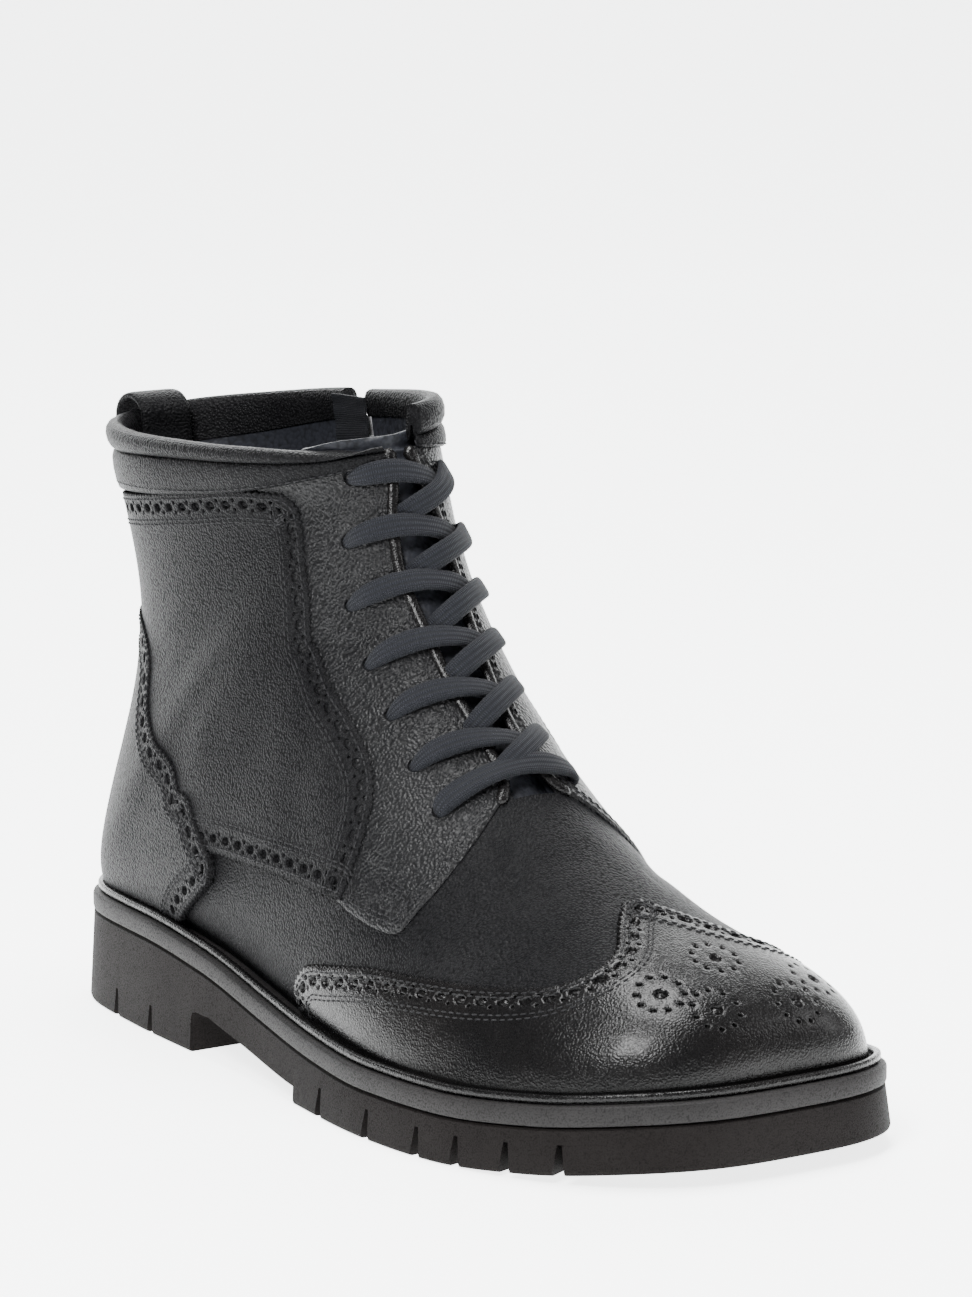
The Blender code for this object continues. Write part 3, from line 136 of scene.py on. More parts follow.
# One row for each section of the last. Places are shares of SOLE_LENGTH. The top's height is a share of the
# height named for that part of the foot, and the bottom's a share of TUCK below the ledge or of SHAFT_HEIGHT
# above it. Widths and shifts are shares of half the width named for that part of the foot.
Section = namedtuple("Section", "top_place top_height bottom_place bottom_height outer inner widest "
                                "ridge_shift bottom_shift crown shoulder wall closed lift")
SECTIONS = (
    Section(0.975, -0.100, 0.712, -0.36, 1.028, 0.972, 0.00, 0.340, 0.064, 0.54, 0.78, 0.34, 0.40, 0.00),
    Section(0.977, 0.133, 0.705, -0.54, 1.028, 0.972, 0.05, 0.340, 0.064, 0.58, 0.80, 0.34, 0.40, 0.00),
    Section(0.970, 0.418, 0.696, -0.69, 1.024, 0.972, 0.10, 0.330, 0.061, 0.64, 0.84, 0.34, 0.40, 0.00),
    Section(0.939, 0.709, 0.682, -0.85, 1.017, 0.972, 0.16, 0.303, 0.055, 0.72, 0.88, 0.34, 0.40, 0.00),
    Section(0.883, 0.992, 0.663, -0.91, 1.002, 0.963, 0.22, 0.248, 0.044, 0.80, 0.92, 0.32, 0.40, 0.00),
    Section(0.814, 0.934, 0.636, -0.95, 0.978, 0.945, 0.26, 0.174, 0.026, 0.88, 0.95, 0.32, 0.42, 0.00),
    Section(0.748, 0.923, 0.603, -1.00, 0.978, 0.961, 0.28, 0.119, 0.004, 0.94, 0.98, 0.34, 0.45, 0.00),
    Section(0.686, 0.942, 0.557, -0.91, 0.964, 0.978, 0.28, 0.083, -0.018, 0.97, 1.00, 0.36, 0.50, 0.00),
    Section(0.630, 0.981, 0.498, -0.80, 0.945, 0.986, 0.28, 0.055, -0.037, 0.98, 1.00, 0.38, 0.55, 0.00),
    Section(0.582, 1.002, 0.413, -0.68, 0.930, 1.001, 0.29, 0.037, -0.040, 0.98, 1.00, 0.40, 0.60, 0.00),
    Section(0.546, 1.077, 0.307, -0.79, 0.926, 1.013, 0.31, 0.037, -0.029, 0.97, 1.00, 0.42, 0.70, 0.00),
    Section(0.520, 1.128, 0.196, -0.86, 0.933, 1.022, 0.34, 0.037, -0.015, 0.95, 0.99, 0.44, 0.84, 0.00),
    Section(0.501, 1.155, 0.107, -0.78, 0.945, 1.031, 0.38, 0.037, -0.004, 0.92, 0.98, 0.47, 1.00, 0.00),
    Section(0.488, 1.169, 0.041, -0.50, 0.962, 1.041, 0.41, 0.037, 0.000, 0.90, 0.96, 0.52, 1.00, 0.00),
    Section(0.478, 1.174, 0.016, 0.027, 0.928, 1.012, 0.43, 0.037, 0.006, 0.88, 0.95, 0.60, 1.00, 0.00),
    Section(0.470, 1.172, 0.015, 0.137, 0.870, 0.976, 0.45, 0.037, 0.015, 0.87, 0.94, 0.70, 1.00, 0.00),
    Section(0.464, 1.165, 0.028, 0.289, 0.804, 0.944, 0.47, 0.037, 0.022, 0.87, 0.93, 0.80, 1.00, 0.00),
    Section(0.457, 1.152, 0.044, 0.460, 0.774, 0.933, 0.49, 0.033, 0.026, 0.87, 0.92, 0.86, 1.00, 0.00),
    Section(0.452, 1.134, 0.046, 0.639, 0.822, 0.942, 0.50, 0.026, 0.022, 0.86, 0.91, 0.88, 1.00, 0.01),
    Section(0.448, 1.114, 0.031, 0.820, 0.916, 0.962, 0.50, 0.018, 0.011, 0.85, 0.90, 0.88, 1.00, 0.03),
    Section(0.446, 1.093, 0.013, 1.000, 1.009, 0.986, 0.50, 0.018, 0.000, 0.84, 0.89, 0.88, 1.00, 0.07),
    Section(0.445, 1.172, 0.006, 1.065, 0.990, 0.955, 0.50, 0.018, 0.000, 0.84, 0.89, 0.88, 1.00, 0.07),
)
SEAM_ROW = 12
TOE_ROW = 2
WIDTH_ROWS = (0, 5, 13, 20)
HEIGHT_ROWS = (0, 4, 9, 20)
TOP_ROW = 21
SECTION_STEPS = 60


def follow(table: tuple, column: int, places: Array) -> Array:
    """A smooth line through one column of a table that never overshoots its rows (monotone cubic).

    Args:
        table: rows with the place first.
        column: the column to read.
        places: places to read it at.

    Returns:
        The value at each place.
    """
    x = np.array([row[0] for row in table], float)
    y = np.array([row[column] for row in table], float)
    step = np.diff(x)
    slope = np.diff(y) / step
    tangent = np.zeros_like(y)
    for i in range(1, len(x) - 1):
        if slope[i - 1] * slope[i] > 0:
            tangent[i] = 2 / (1 / slope[i - 1] + 1 / slope[i])
    at = np.clip(np.asarray(places, float), x[0], x[-1])
    i = np.clip(np.searchsorted(x, at) - 1, 0, len(step) - 1)
    t = (at - x[i]) / step[i]
    return ((1 + 2 * t) * (1 - t) ** 2 * y[i] + t * (1 - t) ** 2 * step[i] * tangent[i]
            + t * t * (3 - 2 * t) * y[i + 1] + t * t * (t - 1) * step[i] * tangent[i + 1])


def ledge_top(place: Array) -> Array:
    """Height of the ledge's top, on which the upper stands, at a place along the foot.

    Args:
        place: metres from the heel.

    Returns:
        The height at each place.
    """
    share = np.asarray(place, float) / SOLE_LENGTH
    drop = (HEEL_HEIGHT - FOREFOOT_HEIGHT) * follow(TOP_LINE, 1, share)
    return FOREFOOT_HEIGHT + drop + TOE_SPRING * follow(TOP_LINE, 2, share) + LEDGE_THICKNESS


def ground(place: Array) -> Array:
    """Height of the tread: flat on the ground, and rising towards the toe."""
    return TOE_SPRING * follow(TOP_LINE, 2, np.asarray(place, float) / SOLE_LENGTH)


def natural_spline(values: Array, at: Array) -> Array:
    """Natural cubic spline through rows of values at 0, 1, 2 ..., read at the given rows.

    Args:
        values: one row for each knot.
        at: places between the knots.

    Returns:
        One row for each place.
    """
    count = len(values)
    system = np.eye(count)
    right = np.zeros_like(values)
    for i in range(1, count - 1):
        system[i, i - 1:i + 2] = (1, 4, 1)
        right[i] = 6 * (values[i - 1] - 2 * values[i] + values[i + 1])
    bend = np.linalg.solve(system, right)
    i = np.clip(np.floor(at).astype(int), 0, count - 2)
    t = (at - i)[:, None]
    return ((1 - t) * values[i] + t * values[i + 1]
            + ((1 - t) ** 3 - (1 - t)) * bend[i] / 6 + (t ** 3 - t) * bend[i + 1] / 6)


def section_sizes() -> Array:
    """The sections in metres, one row each, from their shares and the named sizes.

    Returns:
        One row of sizes for each section.
    """
    rows = []
    widths = (BALL_WIDTH, BALL_WIDTH, HEEL_WIDTH, COLLAR_WIDTH)
    heights = (TOE_HEIGHT, TOE_HEIGHT, INSTEP_HEIGHT, SHAFT_HEIGHT)
    for index, section in enumerate(SECTIONS):
        half = np.interp(index, WIDTH_ROWS, widths) / 2
        tall = np.interp(index, HEIGHT_ROWS, heights)
        top = section.top_place * SOLE_LENGTH
        bottom = section.bottom_place * SOLE_LENGTH
        rise = section.bottom_height * (TUCK if section.bottom_height < 0 else SHAFT_HEIGHT)
        rows.append((top, float(ledge_top(top)) + section.top_height * tall,
                     bottom, float(ledge_top(bottom)) + rise,
                     section.outer * half, section.inner * half, section.widest,
                     section.ridge_shift * BALL_WIDTH / 2, section.bottom_shift * BALL_WIDTH / 2,
                     section.crown, section.shoulder, section.wall, section.closed, section.lift * half))
    return np.array(rows)


def section_curve(row: Array, closed: bool, shares: Array) -> Array:
    """Points round one section at the given v, evenly by length on each side of the ridge.

    Args:
        row: the sizes of the section.
        closed: whether it closes behind the heel.
        shares: the v to read.

    Returns:
        Points in metres.
    """
    (top, top_z, bottom, bottom_z, outer, inner, widest, ridge, foot, crown, shoulder, wall, part, lift) = row
    tall = math.hypot(top - bottom, top_z - bottom_z)
    widest = max(widest, 0.0)
    part = 1.0 if closed else min(max(part, 0.05), 1.0)
    turn = np.linspace(0, math.pi / 2, SECTION_STEPS)
    points = np.zeros((len(shares), 3))
    for sign, width, chosen in ((-1, outer, shares <= 0.5), (1, inner, shares > 0.5)):
        low = (turn * part)[::-1]
        x = np.concatenate([width * np.cos(low) ** wall, (width * np.maximum(np.cos(turn), 0) ** crown)[1:]])
        h = np.concatenate([widest * (1 - np.sin(low)),
                            (widest + (1 - widest) * np.sin(turn) ** shoulder)[1:]])
        if closed:
            x[0] = 0.0
        length = np.concatenate([[0], np.cumsum(np.hypot(np.diff(x), np.diff(h * tall)))])
        wanted = (shares if sign < 0 else 1 - shares)[chosen] * 2 * length[-1]
        across = np.interp(wanted, length, x)
        up = np.interp(wanted, length, h)
        points[chosen, 0] = sign * across + foot + (ridge - foot) * up - HEEL_OFFSET
        points[chosen, 1] = SOLE_LENGTH / 2 - (bottom + (top - bottom) * up)
        points[chosen, 2] = bottom_z + (top_z - bottom_z) * up + sign * lift * across / width
    return points


def last_points(rows: Array, columns: Array) -> Array:
    """A grid of points on the last, one line of them for each row u."""
    sizes = natural_spline(section_sizes(), np.asarray(rows, float))
    return np.array([section_curve(size, u >= SEAM_ROW, columns) for u, size in zip(rows, sizes)])


# Edges of the panels on the outer side, as (u, v), and on the inner side as (u, 1 - v)
CUFF_LOW = ((19.1, 0.0), (19.1, 0.11), (18.85, 0.235), (18.5, 0.33), (18.15, 0.40), (17.6, 0.486))
CUFF_LOW_INNER = ((19.1, 0.0), (19.1, 0.11), (19.1, 0.225), (19.1, 0.261), (19.0, 0.33), (18.9, 0.40),
                  (18.6, 0.482))
ROLL_LOW = ((19.6, 0.0), (19.6, 0.10), (19.55, 0.287), (19.2, 0.408), (18.5, 0.486))
ROLL_LOW_INNER = ((19.6, 0.0), (19.7, 0.12), (19.9, 0.225), (19.95, 0.261), (20.1, 0.36), (20.0, 0.482))
COLLAR = ((20.0, 0.0), (20.0, 0.15), (20.0, 0.30), (19.9, 0.39), (19.6, 0.44), (19.1, 0.486))
COLLAR_INNER = ((20.0, 0.0), (20.15, 0.12), (20.4, 0.225), (20.45, 0.261), (20.7, 0.36), (20.8, 0.42),
                (20.8, 0.482))
THROAT_EDGE = ((18.9, 0.489), (17.6, 0.488), (15.0, 0.484), (13.0, 0.480), (11.0, 0.476), (9.5, 0.474),
               (8.2, 0.474), (7.65, 0.464), (7.4, 0.443))
FACING_FRONT = ((7.13, 0.395), (6.87, 0.330), (6.75, 0.267), (6.77, 0.220), (7.2, 0.207), (7.8, 0.200))
FACING_BACK = ((8.2, 0.200), (8.6, 0.280), (9.2, 0.330), (10.2, 0.350), (11.7, 0.375), (13.2, 0.392),
               (14.9, 0.392), (16.2, 0.383), (17.2, 0.375), (18.0, 0.360), (18.9, 0.330))
QUARTER_FRONT = ((8.0, 0.206), (8.3, 0.285), (8.7, 0.333), (9.1, 0.353), (9.9, 0.368), (10.7, 0.378),
                 (11.7, 0.397), (13.2, 0.414), (14.9, 0.412), (16.2, 0.403), (17.2, 0.395), (17.93, 0.380))
QUARTER_TOP = ((18.53, 0.328), (18.87, 0.235), (19.05, 0.107), (19.1, 0.0))
QUARTER_TOP_INNER = ((18.6, 0.372), (18.95, 0.330), (19.02, 0.262), (14.2, 0.261), (14.2, 0.225),
                     (19.04, 0.224), (19.05, 0.107), (19.1, 0.0))
TACK = ((7.60, 0.262), (7.35, 0.266), (7.10, 0.270))
QUARTER_LOW = ((10.9, 0.150), (10.6, 0.155), (9.7, 0.166), (8.7, 0.188))
QUARTER_UNDER = ((17.4, 0.0), (16.6, 0.09), (15.5, 0.13), (14.1, 0.17), (12.7, 0.19), (11.8, 0.165),
                 (11.2, 0.135))
COUNTER_EDGE = ((17.9, 0.0), (17.5, 0.075), (16.6, 0.140), (15.5, 0.173), (14.1, 0.215), (12.7, 0.235),
                (11.8, 0.217), (11.1, 0.178), (10.6, 0.150))
COUNTER_FRONT = ((10.4, 0.125), (10.5, 0.095), (10.7, 0.060), (10.8, 0.004))
CAP_EDGE = ((5.33, 0.485), (4.93, 0.443), (4.47, 0.402), (4.27, 0.373), (4.17, 0.342), (4.17, 0.308),
            (4.27, 0.287), (4.53, 0.260), (5.0, 0.228), (5.8, 0.192), (6.77, 0.157), (7.63, 0.120),
            (8.07, 0.100), (8.23, 0.075), (8.27, 0.057), (8.1, 0.0))
LACE_ROWS = (7.75, 8.55, 9.5, 10.6, 12.2, 14.4, 17.4)
OUTER_HOLES = (0.375, 0.388, 0.403, 0.418, 0.440, 0.450, 0.452)
INNER_HOLES = (0.585, 0.575, 0.572, 0.568, 0.562, 0.555, 0.550)
MEDALLION = ((3.85, 0.50), (3.32, 0.39), (3.08, 0.612), (2.72, 0.435), (2.58, 0.545))

THROAT_ROW = 7.35
THROAT_HALF = 0.034
ZIP_ROW = 14.2
ZIP_COLUMN = 0.757
ZIP_HALF = 0.018
ZIP_TOP = 20.3
SLIDER_ROW = 19.5

# Metres of leather for one step of u and for the whole of v, for laying out a panel flat
FLAT = np.array([0.014, 0.300])

# How far a panel's outline is moved to find its inner side, and how deep in the groove a panel may end
TEST_STEP = 0.0004
TUCKED_IN = 0.0012

# Soft troughs (below 0) and ridges: from (u, v) to (u, v), half width and depth in metres
CREASES = (
    ((5.9, 0.40), (6.5, 0.30), 0.0035, -0.0007), ((5.5, 0.35), (5.9, 0.28), 0.0030, 0.0004),
    ((5.9, 0.60), (6.5, 0.70), 0.0035, -0.0007), ((6.4, 0.52), (6.3, 0.44), 0.0040, -0.0005),
    ((9.2, 0.22), (10.2, 0.30), 0.0060, -0.0006), ((10.6, 0.25), (11.8, 0.33), 0.0070, -0.0008),
    ((11.2, 0.20), (12.6, 0.28), 0.0060, 0.0006), ((12.6, 0.16), (13.6, 0.30), 0.0080, -0.0007),
    ((9.2, 0.78), (10.4, 0.70), 0.0060, -0.0006), ((10.6, 0.75), (12.0, 0.66), 0.0070, -0.0008),
    ((12.6, 0.84), (13.8, 0.70), 0.0080, -0.0007), ((15.2, 0.20), (15.6, 0.34), 0.0090, -0.0006),
    ((16.8, 0.14), (17.0, 0.30), 0.0080, 0.0006), ((15.4, 0.82), (15.8, 0.68), 0.0090, -0.0006),
    ((7.4, 0.28), (8.2, 0.24), 0.0050, -0.0004), ((3.0, 0.20), (4.2, 0.22), 0.0060, -0.0004),
    ((11.5, 0.02), (13.5, 0.10), 0.0070, 0.0004), ((10.9, 0.40), (11.6, 0.45), 0.0040, -0.0004),
)


class Side(Enum):
    """Which side of the foot a piece is on."""

    OUTER = "outer"
    INNER = "inner"

    def place(self, line: tuple) -> list:
        """Carry an edge of the outer side over to this side.

        Args:
            line: (u, v) pairs on the outer side.

        Returns:
            The same edge on this side.
        """
        return list(line) if self is Side.OUTER else [(u, 1 - v) for u, v in line]


def smooth(line: list, steps: int = 10) -> Array:
    """Draw a smooth curve through the points of an open line.

    Args:
        line: (u, v) pairs.
        steps: points for each stretch.

    Returns:
        The (u, v) of the curve.
    """
    points = np.array(line, float)
    padded = np.vstack([2 * points[0] - points[1], points, 2 * points[-1] - points[-2]])
    gaps = np.maximum(np.linalg.norm(np.diff(padded * FLAT, axis=0), axis=1) ** 0.5, 1e-9)
    knots = np.concatenate([[0], np.cumsum(gaps)])
    out = []
    for k in range(1, len(padded) - 2):
        t0, t1, t2, t3 = knots[k - 1:k + 3]
        p0, p1, p2, p3 = padded[k - 1:k + 3]
        t = np.linspace(t1, t2, steps, endpoint=False)[:, None]
        a1 = (t1 - t) / (t1 - t0) * p0 + (t - t0) / (t1 - t0) * p1
        a2 = (t2 - t) / (t2 - t1) * p1 + (t - t1) / (t2 - t1) * p2
        a3 = (t3 - t) / (t3 - t2) * p2 + (t - t2) / (t3 - t2) * p3
        b1 = (t2 - t) / (t2 - t0) * a1 + (t - t0) / (t2 - t0) * a2
        b2 = (t3 - t) / (t3 - t1) * a2 + (t - t1) / (t3 - t1) * a3
        out.append((t2 - t) / (t2 - t1) * b1 + (t - t1) / (t2 - t1) * b2)
    return np.vstack(out + [points[-1:]])


def edge_at(outer: tuple, inner: tuple, column: Array) -> Array:
    """Read an edge that runs round the shaft, where a column below 0 is on the inner side.

    Args:
        outer: the edge on the outer side.
        inner: the edge on the inner side.
        column: signed distances round from the back seam.

    Returns:
        The row u at each column.
    """
    column = np.asarray(column, float)
    rows = []
    for line in (outer, inner):
        curve = smooth(line)
        rows.append(np.interp(np.abs(column), curve[:, 1], curve[:, 0]))
    return np.where(column >= 0, rows[0], rows[1])


class Last:
    """The smooth surface that the upper lies on, with its creases, read at any (u, v)."""

    ROW_STEPS = 16
    COLUMN_STEPS = 480

    def __init__(self) -> None:
        """Work out the grid, its slopes, normals and creases."""
        rows = np.linspace(0, TOP_ROW, self.ROW_STEPS * TOP_ROW + 1)
        columns = np.linspace(0, 1, self.COLUMN_STEPS + 1)
        self.grid = last_points(rows, columns)
        self.along = np.gradient(self.grid, axis=0) * self.ROW_STEPS
        self.across = np.gradient(self.grid, axis=1) * self.COLUMN_STEPS
        seam = rows >= SEAM_ROW
        wrap = (self.grid[seam, 1] - self.grid[seam, -2]) / 2 * self.COLUMN_STEPS
        self.across[seam, 0] = wrap
        self.across[seam, -1] = wrap
        normals = np.cross(self.across, self.along)
        normals /= np.maximum(np.linalg.norm(normals, axis=2, keepdims=True), 1e-12)
        if normals[80, self.COLUMN_STEPS // 2, 2] < 0:
            normals = -normals
        self.normals = normals
        self.relief = self.creases(rows, columns)

    @staticmethod
    def creases(rows: Array, columns: Array) -> Array:
        """Height of the creases on the whole grid, in metres.

        Args:
            rows: the rows u of the grid.
            columns: its columns v.

        Returns:
            One height for each place.
        """
        place = np.stack(np.meshgrid(rows, columns, indexing="ij"), -1) * FLAT
        height = np.zeros(place.shape[:2])
        for start, end, width, depth in CREASES:
            a = np.array(start) * FLAT
            b = np.array(end) * FLAT
            run = b - a
            t = np.clip(((place - a) @ run) / (run @ run), 0, 1)
            gap = np.linalg.norm(place - (a + t[..., None] * run), axis=-1)
            swell = np.sin(np.pi * np.clip(t, 0.12, 0.88))
            height += depth * np.exp(-(gap / width) ** 2) * (0.35 + 0.65 * swell)
        return height

    def read(self, table: Array, u: Array, v: Array) -> Array:
        """Read a table of the grid between its points.

        Args:
            table: values on the grid.
            u: rows.
            v: columns, below 0 for the inner side behind the back seam.

        Returns:
            One value, or one vector, for each (u, v).
        """
        v = np.where(v < 0, v + 1, np.where(v > 1, v - 1, v))
        a = np.clip(u, 0, TOP_ROW) * self.ROW_STEPS
        b = v * self.COLUMN_STEPS
        i = np.minimum(a.astype(int), table.shape[0] - 2)
        j = np.minimum(b.astype(int), table.shape[1] - 2)
        t, s = a - i, b - j
        if table.ndim == 3:
            t, s = t[:, None], s[:, None]
        return ((1 - t) * (1 - s) * table[i, j] + (1 - t) * s * table[i, j + 1]
                + t * (1 - s) * table[i + 1, j] + t * s * table[i + 1, j + 1])

    def normal(self, line: Array) -> Array:
        """Outward unit normals at rows of (u, v)."""
        normal = self.read(self.normals, line[:, 0], line[:, 1])
        return normal / np.linalg.norm(normal, axis=1)[:, None]

    def place(self, line: Array, height: float | Array = 0.0) -> Array:
        """Points at a height over rows of (u, v).

        Args:
            line: (u, v) rows.
            height: one height or one for each row.

        Returns:
            Points in metres.
        """
        u, v = line[:, 0], line[:, 1]
        lift = self.read(self.relief, u, v) + height
        return self.read(self.grid, u, v) + self.normal(line) * lift[:, None]

    def shift(self, line: Array, move: Array) -> Array:
        """Move rows of (u, v) by vectors that lie in the surface.

        Args:
            line: (u, v) rows.
            move: one vector in metres for each row.

        Returns:
            The moved (u, v).
        """
        a = self.read(self.along, line[:, 0], line[:, 1])
        b = self.read(self.across, line[:, 0], line[:, 1])
        aa, ab, bb = (a * a).sum(1), (a * b).sum(1), (b * b).sum(1)
        ma, mb = (a * move).sum(1), (b * move).sum(1)
        det = np.maximum(aa * bb - ab * ab, 1e-14)
        return line + np.stack([(ma * bb - mb * ab) / det, (mb * aa - ma * ab) / det], 1)

    def even(self, line: Array, pitch: float, closed: bool = False) -> Array:
        """Space points evenly along a line by length on the surface.

        Args:
            line: (u, v) rows, dense enough to measure.
            pitch: the wanted gap in metres.
            closed: whether the line runs back to its start.

        Returns:
            Evenly spaced (u, v).
        """
        if closed:
            line = np.vstack([line, line[:1]])
        gap = np.linalg.norm(np.diff(self.place(line), axis=0), axis=1)
        length = np.concatenate([[0], np.cumsum(gap)])
        count = max(int(round(length[-1] / pitch)), 2)
        wanted = np.linspace(0, length[-1], count + 1)
        if closed:
            wanted = wanted[:-1]
        return np.stack([np.interp(wanted, length, line[:, k]) for k in (0, 1)], 1)

    def sideways(self, line: Array, closed: bool = False) -> Array:
        """Unit vectors square to a line in the surface, on its left seen from outside.

        Args:
            line: (u, v) rows.
            closed: whether the line runs back to its start.

        Returns:
            One vector for each row.
        """
        points = self.place(line)
        if closed:
            run = np.roll(points, -1, 0) - np.roll(points, 1, 0)
        else:
            run = np.gradient(points, axis=0)
        side = np.cross(self.normal(line), run)
        return side / np.maximum(np.linalg.norm(side, axis=1), 1e-12)[:, None]

    def beside(self, line: Array, distance: float, closed: bool = False) -> Array:
        """Move a line sideways over the surface, to its left.

        Args:
            line: (u, v) rows.
            distance: metres, below 0 to the right.
            closed: whether the line runs back to its start.

        Returns:
            The moved line.
        """
        steps = max(int(abs(distance) / 0.0015), 1)
        for _ in range(steps):
            line = self.shift(line, self.sideways(line, closed) * distance / steps)
        return line

    def pinked(self, line: Array, tooth: float = 0.0023, depth: float = 0.0009) -> Array:
        """Cut a line into the small teeth of a pinked edge.

        Args:
            line: (u, v) rows.
            tooth: length of one tooth.
            depth: depth of one tooth.

        Returns:
            A zigzag line.
        """
        even = self.even(line, tooth / 2)
        swing = np.where(np.arange(len(even)) % 2 == 0, -0.5, 0.5) * depth
        swing[0] = swing[-1] = 0
        return self.shift(even, self.sideways(even) * swing[:, None])


LAST = Last()


def add_piece(name: str, points: Array | list, faces: list, look: bpy.types.Material,
              flat_angle: float = 40.0, recalc: bool = True) -> bpy.types.Object:
    """Add one mesh with smooth shading.

    Args:
        name: the piece's name.
        points: vertex places in metres.
        faces: vertex numbers of each face.
        look: its material.
        flat_angle: edges sharper than this many degrees stay sharp.
        recalc: whether the faces are turned to point outward.

    Returns:
        The new object.
    """
    mesh = bpy.data.meshes.new(name)
    mesh.from_pydata([tuple(p) for p in points], [], [tuple(f) for f in faces])
    mesh.validate()
    work = bmesh.new()
    work.from_mesh(mesh)
    bmesh.ops.delete(work, geom=[p for p in work.verts if not p.link_faces], context="VERTS")
    if recalc:
        bmesh.ops.recalc_face_normals(work, faces=work.faces)
    for face in work.faces:
        face.smooth = True
    for edge in work.edges:
        if len(edge.link_faces) == 2 and edge.calc_face_angle(0.0) > math.radians(flat_angle):
            edge.smooth = False
    work.to_mesh(mesh)
    work.free()
    mesh.materials.append(look)
    made = bpy.data.objects.new(name, mesh)
    bpy.context.scene.collection.objects.link(made)
    return made


def loft(rings: Array, closed_ring: bool = False, closed_run: bool = False, caps: bool = False) -> tuple:
    """Join rings of points with four-sided faces.

    Args:
        rings: points as (ring, point, xyz).
        closed_ring: whether each ring runs back to its start.
        closed_run: whether the last ring joins the first.
        caps: whether the first and last ring are closed with a face.

    Returns:
        Vertices and faces.
    """
    count, wide = rings.shape[:2]
    faces = []
    for i in range(count if closed_run else count - 1):
        k = (i + 1) % count
        for j in range(wide if closed_ring else wide - 1):
            m = (j + 1) % wide
            faces.append((i * wide + j, i * wide + m, k * wide + m, k * wide + j))
    if caps:
        faces.append(tuple(range(wide)))
        faces.append(tuple((count - 1) * wide + j for j in range(wide)))
    return rings.reshape(-1, 3), faces


def inside(polygon: Array, points: Array) -> Array:
    """Tell which points lie in a closed polygon, both laid flat.

    Args:
        polygon: its corners.
        points: places to test.

    Returns:
        True for each point inside.
    """
    ahead = np.roll(polygon, -1, 0)
    x, y = points[:, 0][:, None], points[:, 1][:, None]
    crosses = (polygon[:, 1] > y) != (ahead[:, 1] > y)
    rise = np.where(ahead[:, 1] == polygon[:, 1], 1e-12, ahead[:, 1] - polygon[:, 1])
    reach = (ahead[:, 0] - polygon[:, 0]) * (y - polygon[:, 1]) / rise + polygon[:, 0]
    return (crosses & (x < reach)).sum(1) % 2 == 1


def nearest(points: Array, others: Array) -> Array:
    """Distance from each flat point to the nearest of the others.

    Args:
        points: places to measure.
        others: places to measure to.

    Returns:
        One distance for each point.
    """
    best = np.full(len(points), 1e9)
    for start in range(0, len(others), 400):
        part = others[start:start + 400]
        gap = np.linalg.norm(points[:, None] - part[None], axis=2).min(1)
        best = np.minimum(best, gap)
    return best


Hole = namedtuple("Hole", "u v radius long turn")


